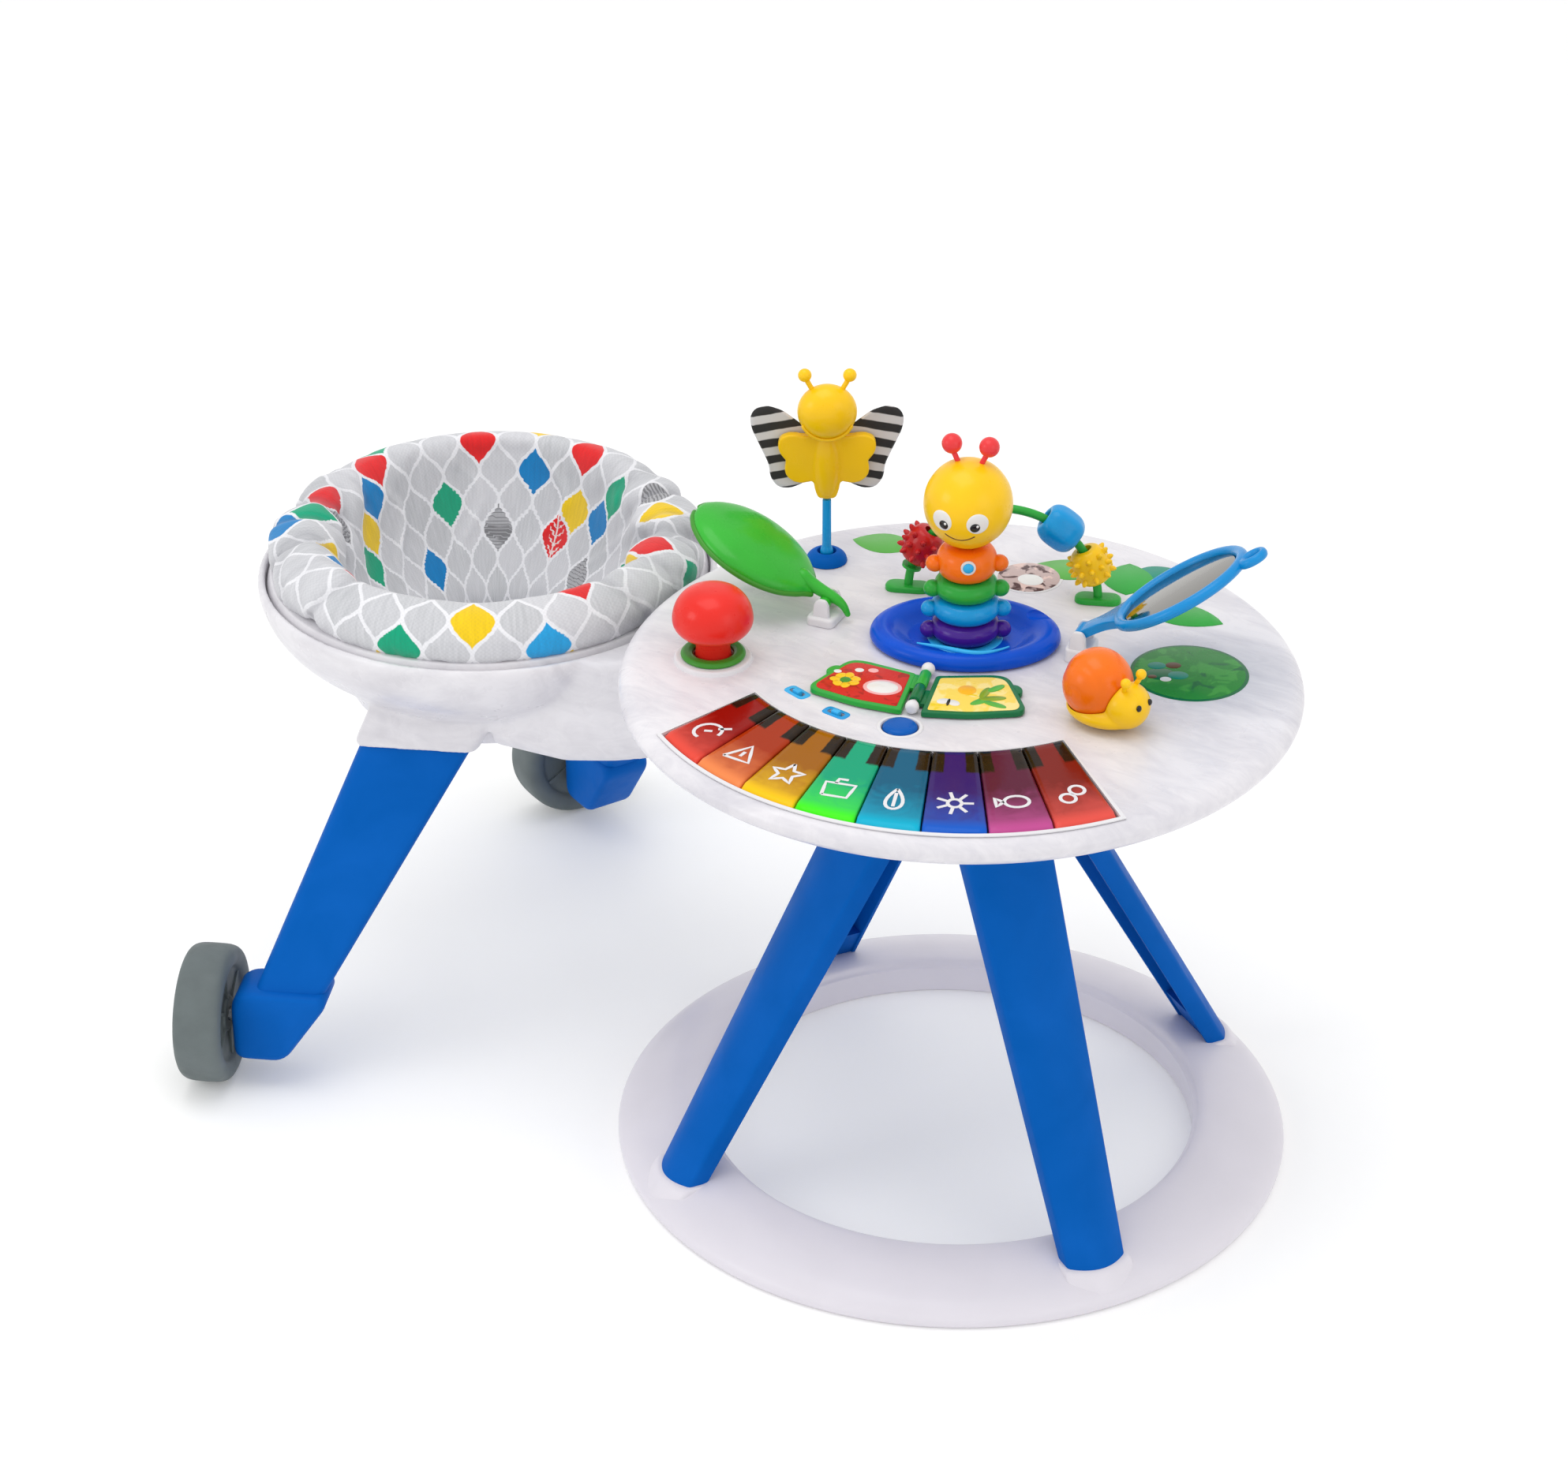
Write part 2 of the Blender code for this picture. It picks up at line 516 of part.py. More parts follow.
def stack():
    wide = DISH_LONG / DISH_SHORT
    profile = [(0, 0.0), (0.0630, 0.0), (DISH_SHORT, 0.0040), (0.0625, 0.0110), (0.0570, 0.0150)]
    profile += [(0.0500, 0.0140), (0.0430, 0.0070), (0.0380, 0.0034), (0, 0.0034)]
    points, faces = turned(profile, 28)
    bowl = [(x * wide, y, z) for x, y, z in points], faces
    at = (*DISH_AT, TABLE_TOP + GAP)
    dish = piece("stack_dish", bowl, "dish_blue", at=at, turn=(0, 0, DISH_YAW))
    join(dish, pin(0.005, 0.001, 0.1170, 12))

    rings = {
        "stack_ring_purple": ("toy_purple", 0.0042, 0.0200, 0.0310),
        "stack_ring_cyan": ("toy_cyan", 0.0247, 0.0200, 0.0305),
        "stack_ring_green": ("toy_green", 0.0452, 0.0190, 0.0285),
        "stack_ring_orange": ("toy_orange", 0.0647, 0.0290, 0.0270),
    }
    for name, (colour, low, height, radius) in rings.items():
        bore = 0.0062
        half = height / 2
        body = [(bore, -half), (radius - 0.010, -half), (radius - 0.003, -half * 0.75), (radius, 0)]
        body += [(radius - 0.003, half * 0.75), (radius - 0.010, half), (bore, half)]
        ring_at = (*DISH_AT, at[2] + low + half)
        ring = piece(name, turned(body, 18), colour, at=ring_at, turn=(0, 0, BUTTERFLY_YAW))
        foot = 0.0075
        for side in (1, -1):
            join(ring, ball((foot, foot, foot), (side * (radius + 0.0025), -0.004, -0.001), 8, 5))

    head_at = (*DISH_AT, at[2] + 0.1355)
    skull = [(0, 0.0390), (0.0150, 0.0360), (0.0270, 0.0280), (0.0360, 0.0140), (0.0390, 0.0)]
    skull += [(0.0375, -0.0130), (0.0310, -0.0250), (0.0200, -0.0350), (0.0120, -0.0405), (0.0065, -0.0405)]
    skull += [(0.0065, -0.0160), (0, -0.0160)]
    head = piece("stack_head", turned(skull, 20), "toy_yellow", at=head_at, turn=(0, 0, BUTTERFLY_YAW - 0.25))
    for side in (1, -1):
        join(head, tube([(side * 0.010, 0.004, 0.030), (side * 0.0155, 0.005, 0.048)], 0.0024, 6))
        join(head, ball((0.0092, 0.0092, 0.0092), (side * 0.0165, 0.005, 0.0520), 10, 6))


def mushroom():
    collar = [(0.0178, 0.0), (0.0285, 0.0), (0.0285, 0.0030), (0.0255, 0.0048), (0.0178, 0.0048)]
    piece("mushroom_collar", turned(collar, 24), "toy_green", at=(*MUSHROOM_AT, TABLE_TOP + 0.0042 + GAP))
    cap = [(0, -0.0060), (0.0160, -0.0060), (0.0158, 0.0180), (0.0175, 0.0240), (0.0260, 0.0262), (0.0335, 0.0320)]
    cap += [(0.0358, 0.0420), (0.0330, 0.0540), (0.0250, 0.0640), (0.0130, 0.0690), (0, 0.0705)]
    piece("mushroom_button", turned(cap, 20), "toy_red", at=(*MUSHROOM_AT, TABLE_TOP))


def snail():
    at = (*SNAIL_AT, TABLE_TOP)
    turn = (0, 0, SNAIL_YAW)
    body = piece("snail_body", ball((0.035, 0.029, 0.0125), (0.002, 0, 0.0133), 18, 8), "toy_yellow", at=at, turn=turn)
    join(body, ball((0.0195, 0.0220, 0.0205), (0.0250, 0, 0.0240), 14, 8))
    join(body, pin(0.005, -0.0140, 0.0060))
    for side in (1, -1):
        join(body, tube([(0.028, side * 0.008, 0.040), (0.030, side * 0.0105, 0.0490)], 0.0022, 6))
        join(body, ball((0.0044, 0.0044, 0.0044), (0.0303, side * 0.011, 0.0510), 8, 5))
    shell_radii = (0.0300, 0.0310, 0.0310)
    shell_at = (-0.0060, 0, 0.0345)
    cut(body, ball([r + 0.0012 for r in shell_radii], shell_at, 18, 10))
    piece("snail_shell", ball(shell_radii, shell_at, 18, 10), "toy_orange", at=at, turn=turn)


def hinge_bracket(name, hinge, yaw, base_half):
    """White block on the tabletop with two ears, which hold a flap's pin. Its origin is the pin's middle."""
    ear_inner, ear_outer, pin_hole = 0.0105, 0.0150, 0.0036
    drop = hinge[2] - TABLE_TOP - GAP
    low = -drop
    top = -0.0105
    block = [(sx * base_half[0], sy * base_half[1]) for sx, sy in ((-1, -1), (1, -1), (1, 1), (-1, 1))]
    bracket = piece(name, prism(block, low, top), "shell_white", at=hinge, turn=(0, 0, yaw))
    ear = [(-0.0075, low + 0.001), (0.0075, low + 0.001), (0.0068, 0.0020), (0.0035, 0.0058), (-0.0035, 0.0058)]
    ear += [(-0.0068, 0.0020)]
    for side in (1, -1):
        walls = [[(x, side * y, z) for x, z in ear] for y in (ear_inner, ear_outer)]
        join(bracket, loft(walls))
    cut(bracket, along_y(pin(pin_hole, -ear_outer - 0.01, ear_outer + 0.01, 12)))


def mirror():
    yaw_turn = (0, -MIRROR_PITCH, MIRROR_YAW)
    hinge_bracket("mirror_bracket", MIRROR_HINGE, MIRROR_YAW, (0.0120, 0.0165))
    middle = (0.104, 0)
    frame = piece("mirror_frame", prism(ellipse(0.066, 0.060, 32, middle), -0.0040, 0.0045), "toy_cyan",
                  at=MIRROR_HINGE, turn=yaw_turn)
    neck = [(-0.001, -0.0095), (0.030, -0.0110), (0.048, -0.0240), (0.048, 0.0240), (0.030, 0.0110), (-0.001, 0.0095)]
    join(frame, prism(neck, -0.0036, 0.0041))
    join(frame, along_y(pin(0.0056, -0.0098, 0.0098, 12)))
    join(frame, along_y(pin(0.0030, -0.0148, 0.0148, 12)))
    join(frame, prism(ellipse(0.0150, 0.0130, 16, (0.176, 0)), -0.0032, 0.0037))
    cut(frame, prism(ellipse(0.0065, 0.0055, 12, (0.1795, 0)), -0.01, 0.01))
    cut(frame, prism(ellipse(0.0565, 0.0505, 32, middle), -0.0018, 0.01))
    piece("mirror_glass", prism(ellipse(0.0558, 0.0498, 32, middle), -0.0014, 0.0018), "mirror_silver",
          at=MIRROR_HINGE, turn=yaw_turn)


def leaf():
    hinge_bracket("leaf_bracket", LEAF_HINGE, LEAF_YAW, (0.0130, 0.0190))
    # Blade: distance from the hinge, half width and height of the bulge
    blade = [(0.016, 0.007, 0.004), (0.026, 0.021, 0.008), (0.040, 0.035, 0.012), (0.062, 0.045, 0.015)]
    blade += [(0.088, 0.048, 0.016), (0.112, 0.042, 0.014), (0.130, 0.029, 0.010), (0.142, 0.012, 0.005)]
    sections = []
    for x, half, bulge in blade:
        top = [(x, half * cos(a), bulge * sin(a)) for a in (pi * i / 8 for i in range(9))]
        under = [(x, half * 0.97 * cos(a), bulge * sin(a) - 0.0045) for a in (pi * i / 6 for i in range(6, -1, -1))]
        sections.append(top + under)
    flap = piece("leaf_flap", loft(sections), "toy_green", at=LEAF_HINGE, turn=(0, -LEAF_PITCH, LEAF_YAW))
    curl = [(0.024, 0, 0.001), (0.010, 0, 0.003), (-0.006, 0, 0.0045), (-0.015, 0, 0.0045), (-0.023, 0, 0.0020)]
    join(flap, tube(curl, 0.0050, 8))
    join(flap, along_y(pin(0.0056, -0.0098, 0.0098, 12)))
    join(flap, along_y(pin(0.0030, -0.0148, 0.0148, 12)))


def butterfly():
    base = [(0, 0.0), (0.0190, 0.0), (0.0185, 0.0040), (0.0130, 0.0095), (0.0085, 0.0105)]
    base += [(0.0085, 0.0030), (0, 0.0030)]
    piece("butterfly_socket", turned(base, 20), "leg_blue", at=(*BUTTERFLY_AT, TABLE_TOP + GAP))
    pivot = (*BUTTERFLY_AT, STEM_PIVOT + 0.004)
    bar = [(0, -0.0045), (0.0052, -0.0030), (0.0062, 0.0010), (0.0045, 0.0060), (0.0045, 0.0545), (0, 0.0545)]
    piece("butterfly_stem", turned(bar, 12), "toy_cyan", at=pivot, turn=(0, 0, BUTTERFLY_YAW))
    low = pivot[2] + 0.0545 + GAP
    at = (*BUTTERFLY_AT, low)
    turn = (0, 0, BUTTERFLY_YAW)
    half = [(0.0, 0.0), (0.0085, 0.0010), (0.0130, 0.0180), (0.0260, 0.0140), (0.0400, 0.0260), (0.0380, 0.0400)]
    half += [(0.0450, 0.0500), (0.0430, 0.0620), (0.0280, 0.0600), (0.0150, 0.0660), (0.0, 0.0680)]
    outline = half + [(-x, z) for x, z in reversed(half[1:-1])]
    walls = [[(x, y, z) for x, z in outline] for y in (-0.0090, 0.0060)]
    body = piece("butterfly_body", loft(walls), "toy_yellow", at=at, turn=turn)
    join(body, ball((0.0270, 0.0200, 0.0260), (0, -0.0020, 0.0880), 16, 8))
    for side in (1, -1):
        join(body, tube([(side * 0.014, 0, 0.106), (side * 0.0195, 0, 0.121)], 0.0026, 6))
        join(body, ball((0.0062, 0.0062, 0.0062), (side * 0.0200, 0, 0.1225), 8, 6))
    wing = [(0.0, 0.0300), (0.0200, 0.0130), (0.0430, 0.0080), (0.0520, 0.0200), (0.0540, 0.0360), (0.0690, 0.0700)]
    wing += [(0.0680, 0.0850), (0.0560, 0.0890), (0.0300, 0.0740), (0.0, 0.0560)]
    outline = wing + [(-x, z) for x, z in reversed(wing[1:-1])]
    walls = [[(x, y, z) for x, z in outline] for y in (0.0065, 0.0095)]
    wings = piece("butterfly_wings", loft(walls), "fabric_stripe", at=at, turn=turn)
    cut(wings, ball((0.0282, 0.0212, 0.0272), (0, -0.0020, 0.0880), 16, 8))


def vine():
    at = (*VINE_AT, TABLE_TOP + GAP)
    turn = (0, 0, VINE_YAW)
    arc = [(VINE_RADIUS * cos(a), 0, 0.001 + VINE_RADIUS * sin(a)) for a in (pi * i / 24 for i in range(25))]
    rail = piece("vine_rail", tube(arc, VINE_TUBE, 8), "toy_green", at=at, turn=turn)
    for side in (1, -1):
        foot = [(side * VINE_RADIUS + x, y) for x, y in ellipse(0.0200, 0.0125, 14)]
        join(rail, prism(foot, 0.0, 0.0050))
    stop = BEAD_ANGLES["bead_red"] + radians(15.5)
    place = Matrix.Translation((VINE_RADIUS * cos(stop), 0, 0.001 + VINE_RADIUS * sin(stop)))
    join(rail, moved(pin(0.0090, -0.001, 0.0016), place @ Matrix.Rotation(-stop, 4, "Y")))
    for name, angle in BEAD_ANGLES.items():
        across = {"bead_red": 0.0205, "bead_blue": 0.0185, "bead_yellow": 0.0205}[name]
        colour = {"bead_red": "toy_red", "bead_blue": "toy_cyan", "bead_yellow": "toy_yellow"}[name]
        bore = 0.0070
        reach = 0.0180
        profile = [(bore, -reach), (bore + 0.004, -reach), (across * 0.88, -reach * 0.55), (across, 0)]
        profile += [(across * 0.88, reach * 0.55), (bore + 0.004, reach), (bore, reach)]
        tilt = Matrix.Rotation(-angle, 4, "Y")
        place = Matrix.Translation((VINE_RADIUS * cos(angle), 0, 0.001 + VINE_RADIUS * sin(angle)))
        if name == "bead_yellow":
            spot = Matrix.Translation(at) @ Matrix.Rotation(VINE_YAW, 4, "Z") @ place @ tilt
            piece(name, turned(profile, 14), colour, at=spot.translation, turn=spot.to_euler())
        else:
            piece(name, moved(turned(profile, 14), place @ tilt), colour, at=at, turn=turn)


def book():
    at = (*BOOK_AT, BOOK_AXIS_Z)
    turn = (0, 0, BOOK_YAW)
    rod = [(0, -0.0395), (0.0040, -0.0385), (0.0062, -0.0340), (0.0045, -0.0285), (0.0020, -0.0275)]
    rod += [(r, -z) for r, z in reversed(rod)]
    piece("book_hinge_rod", along_y(turned(rod, 12)), "shell_white", at=at, turn=turn)
    page = [(0.0080, -0.0410), (0.0500, -0.0340), (0.0920, -0.0200), (0.0950, -0.0120), (0.0700, 0.0380)]
    page += [(0.0620, 0.0410), (0.0080, 0.0270)]
    for name, side, low in (("left", -1, -0.0005), ("right", 1, -0.0260)):
        outline = [(side * x, y) for x, y in page]
        leaf_piece = piece(f"book_leaf_{name}", prism(outline, -0.0055, -0.0005), "toy_green", at=at, turn=turn)
        strap = [(0, low + 0.001), (side * 0.012, low + 0.001), (side * 0.012, low + 0.0255), (0, low + 0.0255)]
        join(leaf_piece, prism(strap, -0.0046, -0.0012))
        join(leaf_piece, along_y(pin(0.0050, low + 0.0010, low + 0.0255, 12)))
        cut(leaf_piece, along_y(pin(0.0027, -0.06, 0.06, 10)))


def build():
    base_ring()
    table_legs()
    hub()
    tabletop()
    keyboard()
    controls()
    seat_frame()
    seat_legs()
    seat_soft()
    stack()
    mushroom()
    snail()
    mirror()
    leaf()
    butterfly()
    vine()
    book()


clear_scene()
table_axis = bpy.data.objects.new("table_axis", None)
bpy.context.scene.collection.objects.link(table_axis)
table_axis.location = (TABLE_X, 0, 0)
build()
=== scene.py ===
"""Looks of the walk-around activity table: finer shells, a printed cloth seat, toys and keys.

Lengths are metres. Shapes are given in the table's own frame, whose Z axis is the table's axis, and make()
moves them into the row frame."""

from math import atan2, cos, pi, radians, sin, sqrt

import bmesh
import bpy
import numpy as np
from mathutils import Matrix, Vector


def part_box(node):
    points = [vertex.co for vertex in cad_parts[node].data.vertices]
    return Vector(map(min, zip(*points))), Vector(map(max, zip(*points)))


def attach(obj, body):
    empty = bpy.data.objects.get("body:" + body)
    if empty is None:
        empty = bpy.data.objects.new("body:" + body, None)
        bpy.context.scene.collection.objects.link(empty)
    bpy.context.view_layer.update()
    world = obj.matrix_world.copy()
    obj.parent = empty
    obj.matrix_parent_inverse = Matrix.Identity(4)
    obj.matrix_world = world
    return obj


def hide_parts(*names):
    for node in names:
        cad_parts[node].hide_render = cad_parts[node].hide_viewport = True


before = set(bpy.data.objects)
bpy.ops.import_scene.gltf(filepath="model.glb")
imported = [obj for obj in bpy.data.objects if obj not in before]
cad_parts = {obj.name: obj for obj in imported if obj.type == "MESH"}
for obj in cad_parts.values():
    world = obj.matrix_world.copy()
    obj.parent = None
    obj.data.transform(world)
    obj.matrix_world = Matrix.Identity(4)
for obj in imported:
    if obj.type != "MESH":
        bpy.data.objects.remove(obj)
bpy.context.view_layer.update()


def middle(node):
    low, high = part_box(node)
    return (low + high) / 2


# ---------------------------------------------------------------- driving values, from the frame
TABLE = Vector((middle("hub_spindle").x, 0, 0))
GAP = 0.0004
LID_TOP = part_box("stack_dish")[0].z - GAP
LID_RADIUS = (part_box("tabletop_lid")[1].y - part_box("tabletop_lid")[0].y) / 2
BASE_RADIUS = (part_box("base_ring")[1].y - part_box("base_ring")[0].y) / 2
SEAT = middle("seat_ring") - TABLE
SEAT_X = SEAT.x
SHELL_RADIUS = SEAT_X - (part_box("seat_frame")[0].x - TABLE.x)
SHELL_TOP = 0.450
PAD_FACING = radians(-57.5)
WHEEL_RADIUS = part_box("wheel_left")[1].z / 2
WHEEL_AZIMUTH = radians(25)
WHEEL_TRACK = 0.703
LEG_AZIMUTHS = [radians(a) for a in (-122.5, -32.5, 57.5, 147.5)]
DISH = middle("stack_dish") - TABLE
DISH_YAW = radians(27)
CAMERA_YAW = radians(32.5)
KEY_INNER = ((-0.0294, 0.0365), 0.1985, radians(-119.2), radians(-31.8), -1)
KEY_OUTER = ((0.0, 0.0), 0.2830, radians(-122.6), radians(-32.8), 1)
KEY_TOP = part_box("piano_key_1")[1].z
KEY_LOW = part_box("piano_key_1")[0].z
KEY_COUNT = 8
SWITCHES = (("power_switch", -0.30), ("volume_switch", -0.12))
MIRROR_HINGE = (0.079, 0.075, 0.509)
MIRROR_YAW = radians(12)
LEAF_HINGE = (-0.147, 0.016, 0.504)
LEAF_YAW = radians(188)
LEAF_SCALE = 0.965


# ---------------------------------------------------------------- shapes, each as (points, faces)
def loft(sections, closed=True):
    count = len(sections[0])
    points = [tuple(p) for ring in sections for p in ring]
    faces = []
    for i in range(len(sections) - 1):
        for j in range(count):
            k = (j + 1) % count
            faces.append((i * count + j, i * count + k, (i + 1) * count + k, (i + 1) * count + j))
    if closed:
        last = (len(sections) - 1) * count
        faces.append(tuple(range(count)))
        faces.append(tuple(range(last, last + count)))
    return points, faces


def prism(outline, low, high):
    return loft([[(x, y, low) for x, y in outline], [(x, y, high) for x, y in outline]])


def pillow(outline, low, high, edge=0.001, steps=3):
    """A prism whose top edge is rounded: each step is the outline pulled in and raised."""
    centre = np.mean(np.array(outline), axis=0)
    sections = [[(x, y, low) for x, y in outline]]
    for i in range(steps + 1):
        turn = pi / 2 * i / steps
        inset, rise = edge * (1 - cos(turn)), edge * (1 - sin(turn))
        ring = []
        for x, y in outline:
            away = Vector((x - centre[0], y - centre[1]))
            reach = max(away.length, 1e-6)
            scale = max(reach - inset, 0) / reach
            ring.append((centre[0] + away.x * scale, centre[1] + away.y * scale, high - rise))
        sections.append(ring)
    return loft(sections)


def turned(profile, steps=96):
    points, faces, rings = [], [], []
    for radius, height in profile:
        start = len(points)
        if radius < 1e-7:
            points.append((0, 0, height))
            rings.append([start] * steps)
        else:
            points += [
                (radius * cos(2 * pi * i / steps), radius * sin(2 * pi * i / steps), height)
                for i in range(steps)
            ]
            rings.append(list(range(start, start + steps)))
    pairs = list(zip(rings, rings[1:]))
    if profile[0][0] > 1e-7 or profile[-1][0] > 1e-7:
        pairs.append((rings[-1], rings[0]))
    for one, two in pairs:
        for i in range(steps):
            k = (i + 1) % steps
            corners = tuple(dict.fromkeys((one[i], one[k], two[k], two[i])))
            if len(corners) > 2:
                faces.append(corners)
    return points, faces


def rounded(points, radius, steps=4, closed=True):
    """Corners of an outline swapped for short curves."""
    out = []
    count = len(points)
    for i, p in enumerate(points):
        if not closed and i in (0, count - 1):
            out.append(tuple(p))
            continue
        here = Vector(p)
        before, after = Vector(points[i - 1]), Vector(points[(i + 1) % count])
        reach = radius[i] if isinstance(radius, (list, tuple)) else radius
        if reach < 1e-6:
            out.append(tuple(p))
            continue
        one = here + (before - here).normalized() * min(reach, (before - here).length * 0.48)
        two = here + (after - here).normalized() * min(reach, (after - here).length * 0.48)
        for j in range(steps + 1):
            t = j / steps
            out.append(tuple(one * (1 - t) ** 2 + here * 2 * t * (1 - t) + two * t**2))
    return out


def curve_through(points, steps=6):
    """Catmull-Rom curve through a list of points."""
    points = [Vector(p) for p in points]
    padded = [points[0] * 2 - points[1]] + points + [points[-1] * 2 - points[-2]]
    out = []
    for i in range(1, len(padded) - 2):
        a, b, c, d = padded[i - 1 : i + 3]
        for j in range(steps):
            t = j / steps
            out.append(
                0.5 * (
                    2 * b + (c - a) * t + (2 * a - 5 * b + 4 * c - d) * t**2 + (3 * b - a - 3 * c + d) * t**3
                )
            )
    out.append(points[-1])
    return out


def tube(route, radius, sides=16):
    """Round bar along points; radius is a number or one for each point. Ends are domed."""
    route = [Vector(p) for p in route]
    radii = list(radius) if isinstance(radius, (list, tuple)) else [radius] * len(route)
    normal = None
    sections = []
    for i, here in enumerate(route):
        ahead = (route[min(i + 1, len(route) - 1)] - route[max(i - 1, 0)]).normalized()
        if normal is None:
            normal = ahead.orthogonal().normalized()
        normal = (normal - ahead * normal.dot(ahead)).normalized()
        side = ahead.cross(normal)
        rings = [(0, radii[i])]
        if i == 0:
            rings = [(-radii[i] * 0.9, radii[i] * 0.35), (-radii[i] * 0.6, radii[i] * 0.8), (0, radii[i])]
        if i == len(route) - 1:
            rings = [(0, radii[i]), (radii[i] * 0.6, radii[i] * 0.8), (radii[i] * 0.9, radii[i] * 0.35)]
        for shift, reach in rings:
            angles = [2 * pi * j / sides for j in range(sides)]
            sections.append(
                [here + ahead * shift + (normal * cos(a) + side * sin(a)) * reach for a in angles]
            )
    return loft(sections)


def ball(radii, centre, steps=40, rings=20):
    profile = [(0, -1)] + [(sin(pi * i / rings), -cos(pi * i / rings)) for i in range(1, rings)] + [(0, 1)]
    points, faces = turned(profile, steps)
    return [tuple(c + r * v for c, r, v in zip(centre, radii, p)) for p in points], faces


def moved(data, matrix):
    return [tuple(matrix @ Vector(p)) for p in data[0]], data[1]


def circle(radius, steps=48, centre=(0, 0)):
    return [
        (centre[0] + radius * cos(2 * pi * i / steps), centre[1] + radius * sin(2 * pi * i / steps))
        for i in range(steps)
    ]


def ellipse(long, short, steps=64, centre=(0, 0), yaw=0.0):
    turn = Matrix.Rotation(yaw, 2)
    return [tuple(Vector(centre) + turn @ Vector((x * long, y * short))) for x, y in circle(1, steps)]


def rectangle(half_x, half_y):
    return [(-half_x, -half_y), (half_x, -half_y), (half_x, half_y), (-half_x, half_y)]


def sweep(steps, span=2 * pi, start=0.0):
    """Angles or heights over a span, both ends included."""
    return [start + span * i / steps for i in range(steps + 1)]


def pin(radius, low, high, steps=32):
    return turned([(0, low), (radius, low), (radius, high), (0, high)], steps)


def along_x(data):
    return moved(data, Matrix.Rotation(pi / 2, 4, "Y"))


def along_y(data):
    return moved(data, Matrix.Rotation(-pi / 2, 4, "X"))


def place(x, y, z, yaw=0.0, pitch=0.0):
    """Frame at a point, turned to a heading, with its X axis raised by pitch."""
    return Matrix.Translation((x, y, z)) @ Matrix.Rotation(yaw, 4, "Z") @ Matrix.Rotation(-pitch, 4, "Y")


# ---------------------------------------------------------------- pieces
def mesh_of(name, data):
    mesh = bpy.data.meshes.new(name)
    mesh.from_pydata(data[0], [], data[1])
    work = bmesh.new()
    work.from_mesh(mesh)
    bmesh.ops.recalc_face_normals(work, faces=work.faces)
    work.to_mesh(mesh)
    work.free()
    return mesh


def bare(name, data):
    made = bpy.data.objects.new(name, mesh_of(name, data))
    bpy.context.scene.collection.objects.link(made)
    return made


def merged(shapes):
    points, faces = [], []
    for p, f in shapes:
        start = len(points)
        points += list(p)
        faces += [tuple(start + i for i in face) for face in f]
    return points, faces


def bake(made):
    """Turns an object's modifiers into its mesh."""
    bpy.context.view_layer.update()
    graph = bpy.context.evaluated_depsgraph_get()
    mesh = bpy.data.meshes.new_from_object(made.evaluated_get(graph))
    made.modifiers.clear()
    made.data = mesh
    return made


def boolean(made, shapes, operation="DIFFERENCE"):
    """Cuts or joins shapes given in the same frame as the object's own points."""
    for data in shapes:
        tool = bare("tool", data)
        modifier = made.modifiers.new("b", "BOOLEAN")
        modifier.operation = operation
        modifier.solver = "MANIFOLD"
        modifier.object = tool
        bake(made)
        bpy.data.objects.remove(tool)
    return made


def evened(made, voxel, iterations=0):
    """Remeshes a joined shape in even cells and eases its creases."""
    remesh = made.modifiers.new("even", "REMESH")
    remesh.mode = "VOXEL"
    remesh.voxel_size = voxel
    if iterations:
        ease = made.modifiers.new("ease", "SMOOTH")
        ease.factor = 0.5
        ease.iterations = iterations
    return bake(made)


def smooth(made, angle=40):
    made.data.shade_smooth()
    made.data.set_sharp_from_angle(angle=radians(angle))


def finish_piece(made, material, body, replaces=()):
    made.data.materials.clear()
    made.data.materials.append(material)
    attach(made, body)
    if replaces:
        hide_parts(*replaces)
    return made


def make(name, shapes, material, body, replaces=(), at=None, angle=40, cuts=()):
    """One visible piece from closed shapes in the table's frame (or in `at`), riding on a body."""
    matrix = Matrix.Translation(TABLE) @ (at or Matrix.Identity(4))
    made = bare(name, merged(shapes))
    if cuts:
        boolean(made, cuts)
    made.data.transform(matrix)
    smooth(made, angle)
    return finish_piece(made, material, body, replaces)


